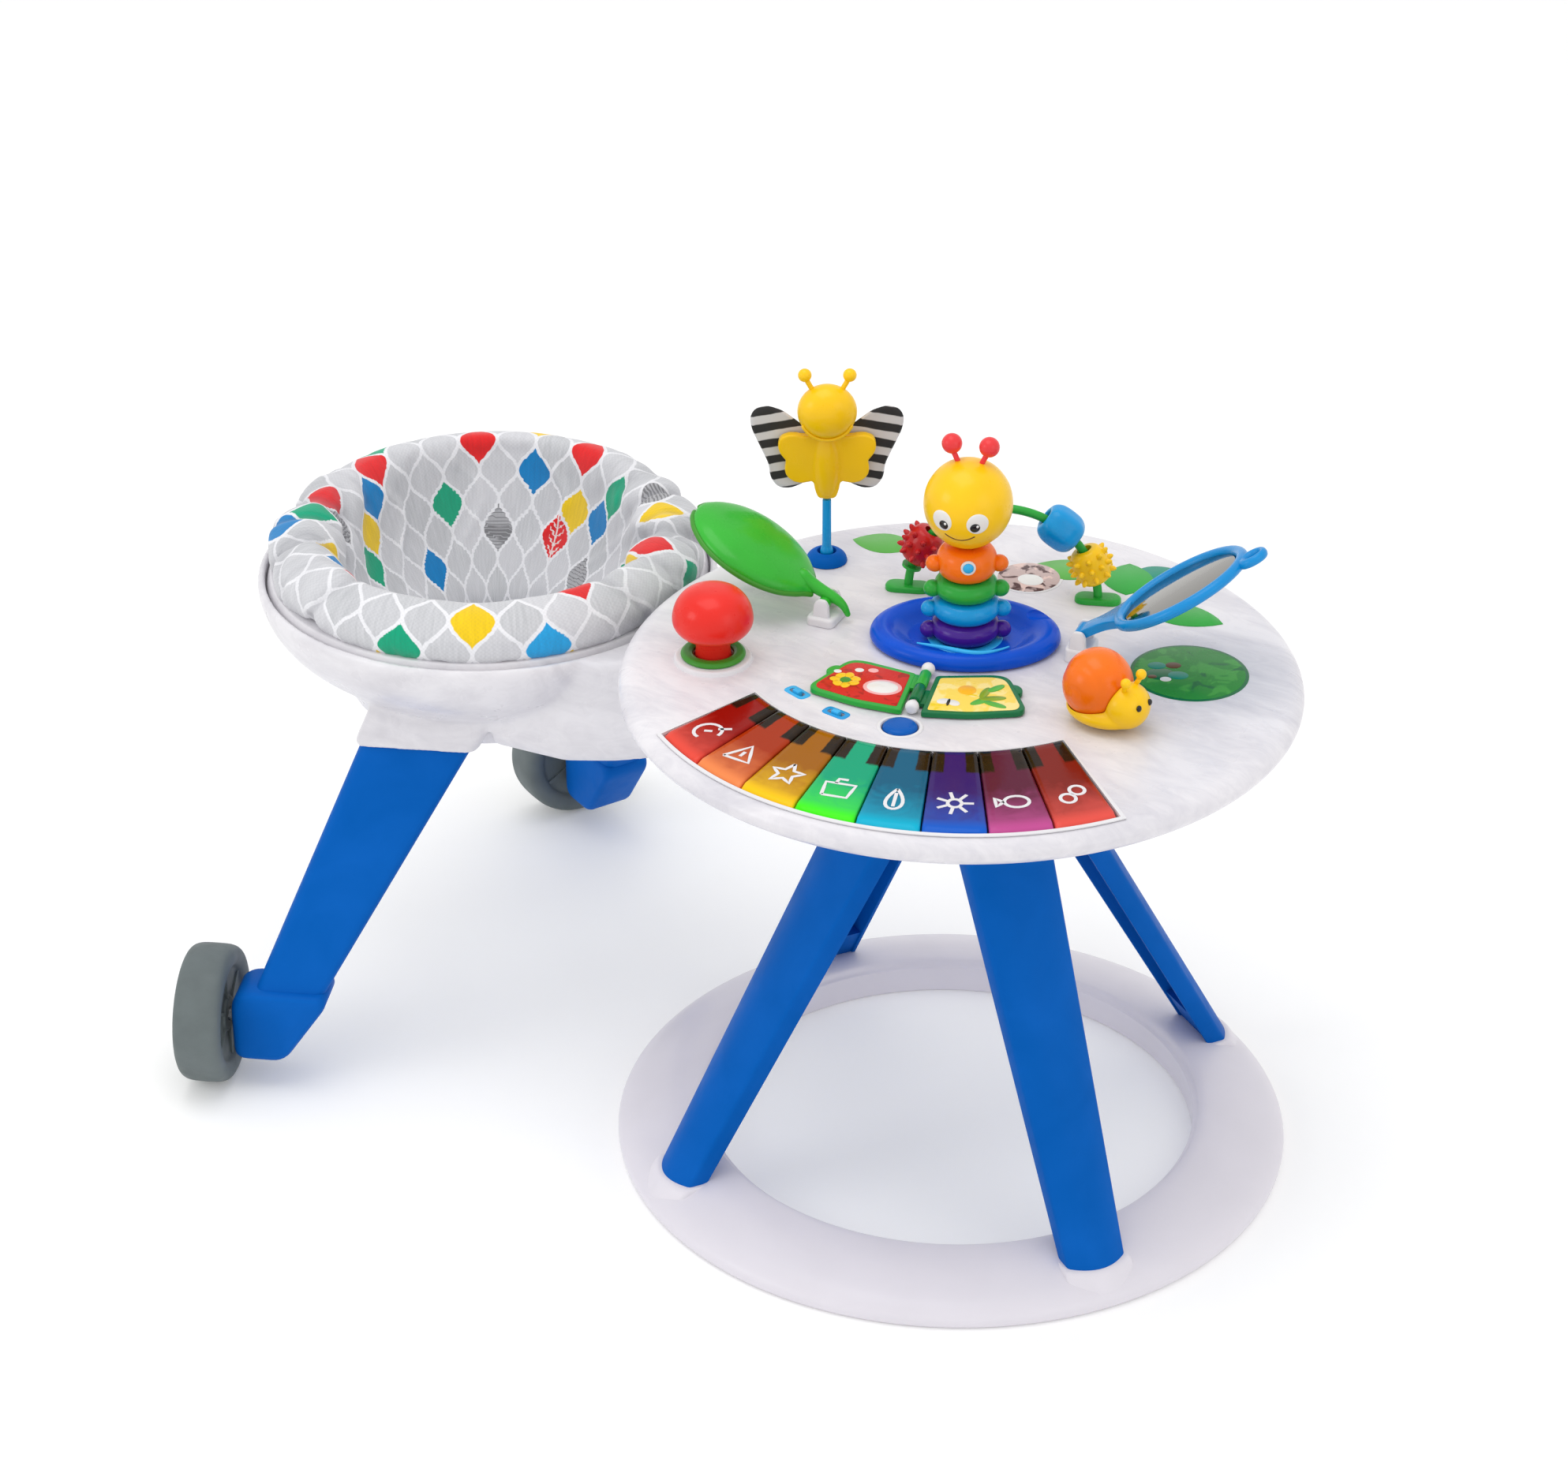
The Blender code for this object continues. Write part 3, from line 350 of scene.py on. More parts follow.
# ---------------------------------------------------------------- materials
class Nodes:
    """Short names for building one node material."""

    def __init__(self, name):
        self.material = bpy.data.materials.new(name)
        self.material.use_nodes = True
        self.tree = self.material.node_tree
        self.shader = self.tree.nodes["Principled BSDF"]
        self.coord = self.tree.nodes.new("ShaderNodeTexCoord")

    def add(self, kind, **settings):
        node = self.tree.nodes.new(kind)
        for key, value in settings.items():
            setattr(node, key, value)
        return node

    def link(self, source, target):
        self.tree.links.new(source, target)

    def put(self, socket, value):
        if hasattr(value, "is_output"):
            self.link(value, socket)
        else:
            socket.default_value = value

    def math(self, operation, a, b=None, c=None):
        node = self.add("ShaderNodeMath", operation=operation)
        for socket, value in zip(node.inputs, (a, b, c)):
            if value is not None:
                self.put(socket, value)
        return node.outputs[0]

    def plus(self, a, b):
        return self.math("ADD", a, b)

    def minus(self, a, b):
        return self.math("SUBTRACT", a, b)

    def times(self, a, b):
        return self.math("MULTIPLY", a, b)

    def sine(self, a):
        return self.math("SINE", a)

    def size_of(self, a):
        return self.math("ABSOLUTE", a)

    def wobble(self, noise, amount):
        """Noise spread evenly about zero."""
        return self.times(self.minus(noise, 0.5), amount)

    def mix(self, factor, a, b):
        node = self.add("ShaderNodeMix", data_type="RGBA")
        self.put(node.inputs["Factor"], factor)
        for socket, value in ((node.inputs["A"], a), (node.inputs["B"], b)):
            sockets = [s for s in node.inputs if s.name == socket.name and s.type == "RGBA"]
            self.put(sockets[0], (*value, 1) if isinstance(value, tuple) and len(value) == 3 else value)
        return [s for s in node.outputs if s.type == "RGBA"][0]

    def noise(self, scale, detail=3.0, distortion=0.0, vector=None, roughness=0.5):
        node = self.add("ShaderNodeTexNoise")
        self.link(vector or self.coord.outputs["Object"], node.inputs["Vector"])
        node.inputs["Scale"].default_value = scale
        node.inputs["Detail"].default_value = detail
        node.inputs["Distortion"].default_value = distortion
        node.inputs["Roughness"].default_value = roughness
        return node.outputs["Fac"] if "Fac" in node.outputs else node.outputs[0]

    def span(self, value, low, high, first=0.0, last=1.0):
        node = self.add("ShaderNodeMapRange", clamp=True)
        for socket, number in zip(node.inputs, (value, low, high, first, last)):
            self.put(socket, number)
        return node.outputs[0]

    def split(self, vector):
        node = self.add("ShaderNodeSeparateXYZ")
        self.link(vector, node.inputs[0])
        return node.outputs

    def bump(self, height, distance, strength=1.0, normal=None):
        node = self.add("ShaderNodeBump")
        node.inputs["Strength"].default_value = strength
        node.inputs["Distance"].default_value = distance
        self.link(height, node.inputs["Height"])
        if normal is not None:
            self.link(normal, node.inputs["Normal"])
        self.link(node.outputs[0], self.shader.inputs["Normal"])
        return node.outputs[0]

    def set(self, **values):
        for key, value in values.items():
            self.put(self.shader.inputs[key.replace("_", " ")], value)


def plastic(
    name, colour, roughness=0.3, coat=0.15, wander=0.06, grain=0.00006, translucent=0.0, specular=0.25
):
    """Moulded plastic: faint flow variation in the colour, orange-peel bump, uneven polish."""
    n = Nodes(name)
    flow = n.span(n.noise(14, 4, 0.6), 0.3, 0.7)
    dark = tuple(c * (1 - wander) for c in colour)
    light = tuple(min(c * (1 + wander) + wander * 0.04, 1) for c in colour)
    n.set(Base_Color=n.mix(flow, dark, light))
    n.set(Roughness=n.span(n.noise(55, 3), 0.25, 0.75, roughness * 0.82, roughness * 1.2))
    n.bump(n.noise(420, 2), grain)
    n.set(Coat_Weight=coat, Coat_Roughness=0.12, IOR=1.48, Specular_IOR_Level=specular)
    if translucent:
        n.set(Subsurface_Weight=translucent, Subsurface_Radius=(0.02, 0.02, 0.02), Subsurface_Scale=0.25)
    return n.material


def swirled(name, light, dark, roughness=0.3, scale=5.0, strength=0.75):
    """White plastic with soft grey swirls moulded in."""
    n = Nodes(name)
    mapping = n.add("ShaderNodeMapping")
    n.link(n.coord.outputs["Object"], mapping.inputs["Vector"])
    mapping.inputs["Rotation"].default_value = (0, 0, radians(35))
    mapping.inputs["Scale"].default_value = (1.0, 2.6, 2.0)
    broad = n.noise(scale, 5, 1.8, mapping.outputs[0], 0.55)
    fine = n.noise(scale * 5, 5, 2.5, mapping.outputs[0], 0.6)
    both = n.plus(n.times(broad, 0.7), n.times(fine, 0.3))
    band = n.span(both, 0.40, 0.62, 0.0, strength)
    n.set(Base_Color=n.mix(band, light, dark))
    n.set(Roughness=n.span(n.noise(40, 3), 0.3, 0.7, roughness * 0.85, roughness * 1.2))
    n.bump(n.noise(380, 2), 0.00005)
    n.set(Coat_Weight=0.10, Coat_Roughness=0.15, IOR=1.48, Specular_IOR_Level=0.3)
    return n.material


# Printed leaves on the seat: (column, row) of the half-drop lattice, by colour
LEAF_COLUMNS = 28
LEAF_WIDTH = 0.0370
LEAF_HEIGHT = 0.0600
LEAF_TOP = 0.010
LEAF_COLOURS = {
    "red": (0.80, 0.018, 0.020),
    "green": (0.0, 0.38, 0.20),
    "blue": (0.0, 0.22, 0.56),
    "yellow": (0.92, 0.62, 0.01),
    "sky": (0.02, 0.38, 0.78),
}
LEAF_CELLS = {
    "red": [(-1, 0), (5, 0), (4, 3), (-7, 0), (-11, 0), (17, 0), (-20, 1), (-17, 4), (23, 0)],
    "green": [(-3, 2), (8, 1), (17, -2), (-13, 0), (-25, -2), (12, 3), (-10, 3), (20, 3), (-6, -1)],
    "blue": [(2, 1), (7, 2), (-8, 1), (-5, 4), (15, 2), (-18, 1), (11, -2), (-14, -1)],
    "sky": [(25, -2), (-22, 3)],
    "yellow": [
        (5, 2), (13, 0), (28, -1), (-28, -1), (-9, 2), (24, -3), (-24, -3), (-16, 1), (2, -1), (18, 1)
    ],
}
LEAF_STRIPED = [(0, 3), (7, 4), (11, 0), (-12, 1), (-26, 1), (21, 2)]


def printed_cloth(name):
    """Cotton print: staggered grey leaves with white outlines, some coloured, over a fine weave, darkened by
    painted shade along the pad's creases and seams.
    """
    n = Nodes(name)
    u, v, _ = n.split(n.coord.outputs["UV"])
    u = n.plus(u, n.wobble(n.noise(26, 2), 0.004))
    v = n.plus(v, n.wobble(n.noise(21, 2), 0.004))
    across = n.math("DIVIDE", u, LEAF_WIDTH)
    down = n.math("DIVIDE", n.minus(v, LEAF_TOP), LEAF_HEIGHT)

    def lattice(shift):
        x = n.plus(across, shift[0])
        y = n.plus(down, shift[1])
        column, row = n.math("ROUND", x), n.math("ROUND", y)
        return n.minus(x, column), n.minus(y, row), column, row

    xa, ya, ca, ra = lattice((0.5, 0.0))
    xb, yb, cb, rb = lattice((0.0, 0.5))
    bow = n.times(n.plus(n.math("COSINE", n.times(ya, 2 * pi)), 1), 0.25)
    over = n.minus(n.size_of(xa), bow)
    in_a = n.math("LESS_THAN", over, 0)
    in_b = n.minus(1, in_a)

    def choose(a, b):
        return n.plus(n.times(a, in_a), n.times(b, in_b))

    column = choose(n.minus(n.times(ca, 2), 1), n.times(cb, 2))
    row = choose(n.times(ra, 2), n.minus(n.times(rb, 2), 1))
    x, y = choose(xa, xb), choose(ya, yb)
    cell = n.plus(n.times(row, 100), column)
    slope = n.size_of(n.sine(n.times(y, 2 * pi)))
    edge = n.math("DIVIDE", n.size_of(over), n.math("SQRT", n.plus(1, n.times(slope, 0.9))))
    inside = n.span(edge, 0.033, 0.052)

    tint = n.add("ShaderNodeTexWhiteNoise", noise_dimensions="1D")
    n.link(n.plus(cell, 0.37), tint.inputs["W"])
    grey = n.mix(tint.outputs["Value"], (0.50, 0.51, 0.53), (0.62, 0.62, 0.65))
    strokes = n.add("ShaderNodeCombineXYZ")
    n.link(n.times(u, 420), strokes.inputs[0])
    n.link(n.times(v, 40), strokes.inputs[1])
    brush = n.noise(1.0, 3, 0.6, strokes.outputs[0])
    grey = n.mix(n.span(brush, 0.30, 0.70, 0.0, 0.5), grey, (0.72, 0.72, 0.75))

    def mask(cells):
        total = None
        for a, b in cells:
            hit = n.math("COMPARE", cell, float(b * 100 + a), 0.4)
            total = hit if total is None else n.plus(total, hit)
        return total

    fill = grey
    for colour, cells in LEAF_CELLS.items():
        deep = tuple(c * 0.86 for c in LEAF_COLOURS[colour])
        shade = n.mix(n.span(brush, 0.3, 0.7), deep, LEAF_COLOURS[colour])
        fill = n.mix(mask(cells), fill, shade)
    lines = n.sine(n.plus(n.times(v, 1750), n.times(n.noise(60, 1), 3)))
    striped = n.mix(n.span(lines, -0.3, 0.3), (0.20, 0.20, 0.21), (0.42, 0.42, 0.44))
    fill = n.mix(mask(LEAF_STRIPED), fill, striped)
    vein = n.math("PINGPONG", n.plus(n.times(n.size_of(x), 0.55), y), 0.07)
    vein = n.math("MAXIMUM", n.times(vein, 1.4), n.minus(n.size_of(x), 0.20))
    sprig = n.math("MINIMUM", vein, n.size_of(x))
    sprig_on = n.times(n.math("COMPARE", cell, 304.0, 0.4), n.span(sprig, 0.016, 0.034, 0.9, 0.0))
    fill = n.mix(sprig_on, fill, (0.85, 0.80, 0.78))
    colour = n.mix(inside, (0.82, 0.82, 0.85), fill)

    weave_at = n.add("ShaderNodeCombineXYZ")
    n.link(n.times(u, 1600), weave_at.inputs[0])
    n.link(n.times(v, 1600), weave_at.inputs[1])
    wx, wy, _ = n.split(weave_at.outputs[0])
    weave = n.times(n.sine(wx), n.sine(wy))
    weave = n.plus(n.times(weave, 0.5), 0.5)
    colour = n.mix(n.times(weave, 0.10), colour, (0.1, 0.1, 0.11))
    # Painted shade: the print goes dark grey where the pad's creases, troughs and seams are
    crease_and_painted_shade = n.add("ShaderNodeAttribute", attribute_name="crease_and_painted_shade")
    colour = n.mix(n.times(crease_and_painted_shade.outputs["Fac"], 0.42), colour, (0.16, 0.16, 0.19))
    n.set(Base_Color=colour, Roughness=n.span(weave, 0, 1, 0.78, 0.92))
    soft = n.bump(n.noise(38, 4, 0.4), 0.0016, 0.5)
    n.bump(weave, 0.00012, 0.6, soft)
    n.set(Sheen_Weight=0.25, Sheen_Roughness=0.5, IOR=1.4, Specular_IOR_Level=0.2)
    return n.material


def striped_cloth(name, centre):
    """Black and white satin stripes, level with the toy."""
    n = Nodes(name)
    x, y, z = n.split(n.coord.outputs["Object"])
    east = n.times(n.minus(x, centre[0]), cos(CAMERA_YAW))
    north = n.times(n.minus(y, centre[1]), sin(CAMERA_YAW))
    side = n.plus(east, north)
    bend = n.times(n.size_of(side), 0.18)
    level = n.plus(n.minus(z, centre[2]), bend)
    wave = n.plus(n.sine(n.times(level, 2 * pi / 0.0165)), n.wobble(n.noise(60, 2), 0.7))
    n.set(Base_Color=n.mix(n.span(wave, -0.16, 0.16), (0.012, 0.011, 0.012), (0.62, 0.60, 0.61)))
    soft = n.bump(n.noise(70, 4, 0.3), 0.0012, 0.6)
    n.bump(n.noise(1500, 1), 0.0001, 0.5, soft)
    n.set(Roughness=0.62, Sheen_Weight=0.3, Sheen_Roughness=0.4)
    return n.material


def key_glaze(name, deep, bright):
    """Translucent key: deep colour inside, bright at the rim as a painted highlight of its glossy lip, with
    dark half-notches of the sharps.
    """
    n = Nodes(name)
    s, t, _ = n.split(n.coord.outputs["UV"])
    streak = n.wobble(n.noise(45, 3, 1.2), 0.35)
    lift = n.plus(t, streak)
    full = tuple(d * 0.45 + b * 0.55 for d, b in zip(deep, bright))
    colour = n.mix(n.span(lift, 0.50, 0.88), deep, full)
    # Painted highlight: the outer rim band takes the bright colour, standing in for the glossy lip catching
    # the light
    colour = n.mix(n.span(t, 0.86, 0.96), colour, bright)
    side = n.times(n.math("MINIMUM", s, n.minus(1, s)), 3.4)
    ripple = n.wobble(n.noise(130, 2), 0.16)
    notch = n.plus(n.math("MAXIMUM", n.minus(side, 0.92), n.times(n.minus(t, 0.27), 3.6)), ripple)
    dark = n.mix(n.noise(90, 3), (0.006, 0.004, 0.003), (0.030, 0.014, 0.005))
    colour = n.mix(n.span(notch, -0.04, 0.06), dark, colour)
    n.set(Base_Color=colour)
    n.set(Roughness=n.span(n.noise(50, 3), 0.3, 0.7, 0.10, 0.17))
    n.bump(n.noise(120, 2), 0.00012)
    n.set(Coat_Weight=0.04, Coat_Roughness=0.05, IOR=1.5, Specular_IOR_Level=0.08)
    return n.material


def picture(name, ground, blotches, scale):
    """A printed patch: ground colour with soft blotches of others."""
    n = Nodes(name)
    colour = ground
    for i, (shade, low) in enumerate(blotches):
        shifted = n.add("ShaderNodeMapping")
        n.link(n.coord.outputs["Object"], shifted.inputs["Vector"])
        shifted.inputs["Location"].default_value = (0.37 * i, 0.11 * i, 0.2 * i)
        patch = n.noise(scale, 2, 0.8, shifted.outputs[0])
        colour = n.mix(n.span(patch, low, low + 0.05), colour, shade)
    n.set(Base_Color=colour, Roughness=n.span(n.noise(60, 2), 0.3, 0.7, 0.22, 0.32))
    n.bump(n.noise(500, 1), 0.00003)
    n.set(Coat_Weight=0.04, Coat_Roughness=0.1, Specular_IOR_Level=0.12)
    return n.material


def metal(name, colour, roughness, brushed=0.0):
    n = Nodes(name)
    n.set(Base_Color=n.mix(n.noise(200, 2), tuple(c * 0.94 for c in colour), colour))
    n.set(Metallic=1.0, Roughness=n.span(n.noise(90, 3), 0.3, 0.7, roughness * 0.8, roughness * 1.25))
    n.bump(n.noise(600, 2), 0.00002 + brushed)
    return n.material


def rubbery(name, colour):
    n = Nodes(name)
    n.set(
        Base_Color=n.mix(
            n.span(n.noise(30, 4), 0.3, 0.7), tuple(c * 0.9 for c in colour), tuple(c * 1.1 for c in colour)
        )
    )
    n.set(Roughness=n.span(n.noise(80, 3), 0.3, 0.7, 0.5, 0.66))
    n.bump(n.noise(500, 3), 0.00018, 0.7)
    n.set(Specular_IOR_Level=0.35, IOR=1.5)
    return n.material


WHITE = swirled("shell_white", (0.75, 0.735, 0.765), (0.61, 0.595, 0.63))
TOP_WHITE = swirled("tabletop_white", (0.77, 0.75, 0.78), (0.60, 0.585, 0.635), scale=4.0, strength=0.9)
BASE_WHITE = plastic("base_white", (0.74, 0.71, 0.765), 0.34, 0.1, 0.015)
TRIM_WHITE = plastic("trim_white", (0.74, 0.73, 0.75), 0.3, 0.1, 0.02)
BLUE = plastic("leg_blue", (0.0, 0.105, 0.45), 0.45, 0.0, 0.06, 0.00008, specular=0.05)
WHEEL_GREY = rubbery("wheel_grey", (0.125, 0.150, 0.152))
STEEL = metal("axle_steel", (0.62, 0.63, 0.65), 0.25)
DARK = plastic("electronics_dark", (0.03, 0.03, 0.035), 0.5, 0.0)
RED = plastic("toy_red", (0.76, 0.020, 0.012), 0.30, translucent=0.05)
CORAL = plastic("antenna_red", (0.78, 0.040, 0.045), 0.28)
BEAD_RED = plastic("bead_red", (0.50, 0.008, 0.010), 0.25)
ORANGE = plastic("toy_orange", (0.90, 0.165, 0.002), 0.28, translucent=0.05)
YELLOW = plastic("toy_yellow", (0.90, 0.54, 0.003), 0.30, translucent=0.05)
GREEN = plastic("toy_green", (0.020, 0.36, 0.040), 0.30)
LEAF_GREEN = plastic("leaf_green", (0.030, 0.43, 0.028), 0.28, 0.2)
RIM_GREEN = plastic("rim_green", (0.045, 0.27, 0.020), 0.34)
DARK_GREEN = plastic("dark_green", (0.0, 0.15, 0.045), 0.30)
PALE_GREEN = plastic("pale_green", (0.10, 0.42, 0.06), 0.32)
TEAL = plastic("toy_teal", (0.0, 0.26, 0.17), 0.32)
CYAN = plastic("toy_cyan", (0.002, 0.30, 0.68), 0.28)
FRAME_CYAN = plastic("mirror_cyan", (0.002, 0.25, 0.62), 0.28)
LIGHT_CYAN = plastic("light_cyan", (0.03, 0.42, 0.80), 0.26)
PURPLE = plastic("toy_purple", (0.060, 0.010, 0.26), 0.24)
DISH_BLUE = plastic("dish_blue", (0.0, 0.075, 0.58), 0.24, 0.08, 0.10, specular=0.12)
BUTTON_BLUE = plastic("button_blue", (0.0, 0.100, 0.44), 0.28, 0.05, specular=0.12)
BLACK = plastic("eye_black", (0.008, 0.007, 0.007), 0.15, 0.5, 0.0)
EYE_WHITE = plastic("eye_white", (0.78, 0.77, 0.75), 0.20, 0.3, 0.01)
BROWN = plastic("line_brown", (0.12, 0.04, 0.008), 0.3)
SEAT_PRINT = printed_cloth("seat_print")


# ---------------------------------------------------------------- stand: floor ring, legs, hub
LEG_FOOT = (0.2780, 0.0260)
LEG_HEAD = (0.0656, 0.4000)


def between(value, start, end, first, last):
    return first + (last - first) * (value - start) / (end - start)


def leg_section(azimuth, z, grow=0.0, channel=False):
    """Level cut through a table leg: bowed outside with soft corners, hollow towards the table's axis."""
    centre = between(z, LEG_FOOT[1], LEG_HEAD[1], LEG_FOOT[0], LEG_HEAD[0])
    half = between(z, LEG_FOOT[1], LEG_HEAD[1], 0.056, 0.088) / 2 + grow
    depth = between(z, LEG_FOOT[1], LEG_HEAD[1], 0.015, 0.017) + grow
    bow = 0.012
    outer = [(depth - bow * (y / half) ** 2, y) for y in (half * (-1 + 2 * i / 16) for i in range(17))]
    outline = [(-depth, -half)] + outer + [(-depth, half)]
    if channel:
        wall = 0.004
        inner = [
            (depth - wall - bow * (y / half) ** 2, y)
            for y in ((half - wall) * (1 - 2 * i / 12) for i in range(13))
        ]
        outline += [(-depth, half - wall)] + inner + [(-depth, -half + wall)]
        outline = rounded(outline, [0.0015] + [0.003] + [0.002] * 15 + [0.003] + [0.0015] * 17, 2)
    else:
        outline = rounded(outline, 0.003, 2)
    turn = Matrix.Rotation(azimuth, 4, "Z")
    return [turn @ Vector((centre + x, y, z)) for x, y in outline]


def stand():
    ring = [
        (BASE_RADIUS - 0.084, 0.0),
        (BASE_RADIUS - 0.003, 0.0),
        (BASE_RADIUS, 0.004),
        (BASE_RADIUS - 0.0005, 0.011),
        (BASE_RADIUS - 0.012, 0.0205),
        (BASE_RADIUS - 0.045, 0.0320),
        (BASE_RADIUS - 0.070, 0.0350),
        (BASE_RADIUS - 0.0795, 0.0335),
        (BASE_RADIUS - 0.0815, 0.0285),
        (BASE_RADIUS - 0.0850, 0.0270),
        (BASE_RADIUS - 0.0850, 0.0020),
    ]
    ring = rounded(ring, [0.001, 0.002, 0.003, 0.005, 0.012, 0.02, 0.012, 0.003, 0.002, 0.001, 0.001], 4)
    shapes = [turned(ring, 192)]
    cuff = ((0.012, 0.0062), (0.0255, 0.0050), (0.0290, 0.0040), (0.0305, 0.0026), (0.0308, 0.0010))
    for azimuth in LEG_AZIMUTHS:
        shapes.append(loft([leg_section(azimuth, z, grow) for z, grow in cuff]))
    make("floor_ring", shapes, BASE_WHITE, "stand", ["base_ring"], angle=35)
    for number, azimuth in enumerate(LEG_AZIMUTHS, 1):
        heights = sweep(10, LEG_HEAD[1] - LEG_FOOT[1], LEG_FOOT[1])
        channel = loft([leg_section(azimuth, z, channel=True) for z in heights])
        plugs = [
            loft([leg_section(azimuth, z, -0.0022) for z in pair])
            for pair in ((0.0265, 0.064), (0.374, 0.3995))
        ]
        make(
            f"stand_leg_{number}", [channel, *plugs], BLUE, "stand", [f"table_leg_{number}"], angle=50
        )
    hub = rounded(
        [(0, 0.376), (0.100, 0.376), (0.106, 0.384), (0.106, 0.422), (0.100, 0.428), (0, 0.428)],
        [0, 0.006, 0.006, 0.006, 0.006, 0], 4
    )
    make(
        "hub_cover", [turned(hub, 96)], WHITE, "stand", ["hub_housing"],
        cuts=[loft([leg_section(a, z, 0.0004) for z in (0.355, 0.4004)]) for a in LEG_AZIMUTHS]
    )


# ---------------------------------------------------------------- tabletop
def key_point(s, t, grow=0.0):
    """Point of the keyboard: s runs along it, t from its inner arc to its outer arc."""
    (ax, ay), ar, a0, a1, _ = KEY_INNER
    (bx, by), br, b0, b1, _ = KEY_OUTER
    a, b = a0 + (a1 - a0) * s, b0 + (b1 - b0) * s
    inner = Vector((ax + (ar - grow) * cos(a), ay + (ar - grow) * sin(a)))
    outer = Vector((bx + (br + grow) * cos(b), by + (br + grow) * sin(b)))
    return inner.lerp(outer, t)


def key_outline(first, last, grow=0.0, steps=24):
    shares = sweep(steps, last - first, first)
    inner = [tuple(key_point(s, 0, grow)) for s in shares]
    return inner + [tuple(key_point(s, 1, grow)) for s in reversed(shares)]


def tabletop():
    top = LID_TOP
    profile = [
        (0, top), (0.276, top), (0.2895, top - 0.0012), (0.2975, top - 0.0068), (LID_RADIUS, top - 0.0130)
    ]
    profile += [(0.2975, top - 0.0185), (0.2920, top - 0.0232), (0.2872, top - 0.0262)]
    profile += [
        (0.2855, top - 0.0258), (0.2870, top - 0.0215), (0.2945, top - 0.0145), (0.2900, top - 0.0070),
        (0.2800, top - 0.0042), (0, top - 0.0042)
    ]
    profile = rounded(
        profile, [0, 0.010, 0.006, 0.006, 0.006, 0.004, 0.003, 0.002, 0.001, 0.002, 0.004, 0.004, 0.004, 0], 4
    )
    cuts = [prism(key_outline(-0.003, 1.003, 0.0009, 48), top - 0.012, top + 0.01)]
    mushroom = middle("mushroom_collar") - TABLE
    button = middle("select_button") - TABLE
    cuts.append(prism(circle(0.0174, 48, mushroom.xy), top - 0.01, top + 0.01))
    cuts.append(prism(circle(0.0161, 48, button.xy), top - 0.01, top + 0.01))
    for name, yaw in SWITCHES:
        at = middle(name) - TABLE
        slot_shape = rounded(rectangle(0.0085, 0.0032), 0.003)
        cuts.append(moved(prism(slot_shape, top - 0.01, top + 0.01), place(at.x, at.y, 0, yaw)))
    make("lid", [turned(profile, 224)], TOP_WHITE, "stand", ["tabletop_lid"], cuts=cuts, angle=35)

    # Raised white lip round the keyboard, and round the mushroom and the button
    outer, inner = key_outline(-0.012, 1.012, 0.0042, 48), key_outline(-0.0034, 1.0034, 0.0012, 48)
    rows = []
    for shape, z in ((outer, -0.0004), (outer, 0.0006), (inner, 0.0013), (inner, -0.0004)):
        rows.append([(x, y, top + z) for x, y in shape])
    lip = loft(rows + [rows[0]], closed=False)
    make("keyboard_lip", [lip], TRIM_WHITE, "stand", angle=50)
    boss = rounded(
        [(0.0176, -0.0004), (0.0350, -0.0004), (0.0335, 0.0042), (0.0176, 0.0042)], [0, 0, 0.002, 0.0005], 4
    )
    make(
        "mushroom_boss", [turned(boss, 96)], TRIM_WHITE, "stand",
        at=place(mushroom.x, mushroom.y, top)
    )
    well = rounded([(0.0162, -0.0003), (0.0205, -0.0003), (0.0195, 0.0012), (0.0168, 0.0012)], 0.0006, 3)
    make("button_lip", [turned(well, 64)], TRIM_WHITE, "stand", at=place(button.x, button.y, top))
    collar = rounded(
        [
            (0.0178, 0.0), (0.0285, 0.0), (0.0288, 0.0022), (0.0262, 0.0048), (0.0205, 0.0048),
            (0.0178, 0.0030)
        ],
        0.0014, 4
    )
    make(
        "mushroom_ring", [turned(collar, 96)], RIM_GREEN, "stand", ["mushroom_collar"],
        at=place(mushroom.x, mushroom.y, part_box("mushroom_collar")[0].z)
    )

    # Printed patches: pond under the mirror, picture and leaves at the far side
    def patch(name, outline, material, height=0.0004, base=0.0):
        make(
            name, [pillow(outline, top + base - 0.0002, top + base + height, 0.0003, 2)], material, "stand",
            angle=50
        )

    pond = (0.1743, 0.0970)
    patch("pond_edge", ellipse(0.0520, 0.0505, 96, pond), DARK_GREEN)
    patch("pond_water", ellipse(0.0490, 0.0475, 96, pond), PALE_POND, 0.0007)
    spots = [
        (-0.020, -0.016, 0.013, DARK_GREEN), (-0.030, -0.004, 0.008, TEAL), (-0.012, -0.022, 0.005, EYE_WHITE)
    ]
    spots += [(-0.018, 0.004, 0.007, BROWN), (-0.006, -0.010, 0.009, TEAL), (-0.024, -0.024, 0.004, BROWN)]
    for i, (dx, dy, r, m) in enumerate(spots):
        patch(
            f"pond_spot_{i + 1}", ellipse(r, r * 0.8, 32, (pond[0] + dx, pond[1] + dy), 0.5), m,
            0.0004 + 0.0001 * (i % 3), 0.0005
        )
    round_picture = (-0.0330, 0.1810)
    patch("picture_edge", ellipse(0.0310, 0.0310, 64, round_picture), TRIM_WHITE, 0.0005)
    patch("picture_ground", ellipse(0.0285, 0.0285, 64, round_picture), PICTURE, 0.0008)
    patch(
        "picture_bloom", ellipse(0.0120, 0.0105, 48, (round_picture[0] + 0.004, round_picture[1] - 0.004)),
        EYE_WHITE, 0.0004, 0.0007
    )

    def leaf_outline(cx, cy, length, width, yaw):
        turn = Matrix.Rotation(yaw, 2)
        side = [(length * (i / 12 - 0.5), width / 2 * sin(pi * i / 12) ** 0.8) for i in range(13)]
        ring = side + [(x, -y) for x, y in side[-2:0:-1]]
        return [tuple(Vector((cx, cy)) + turn @ Vector(p)) for p in ring]

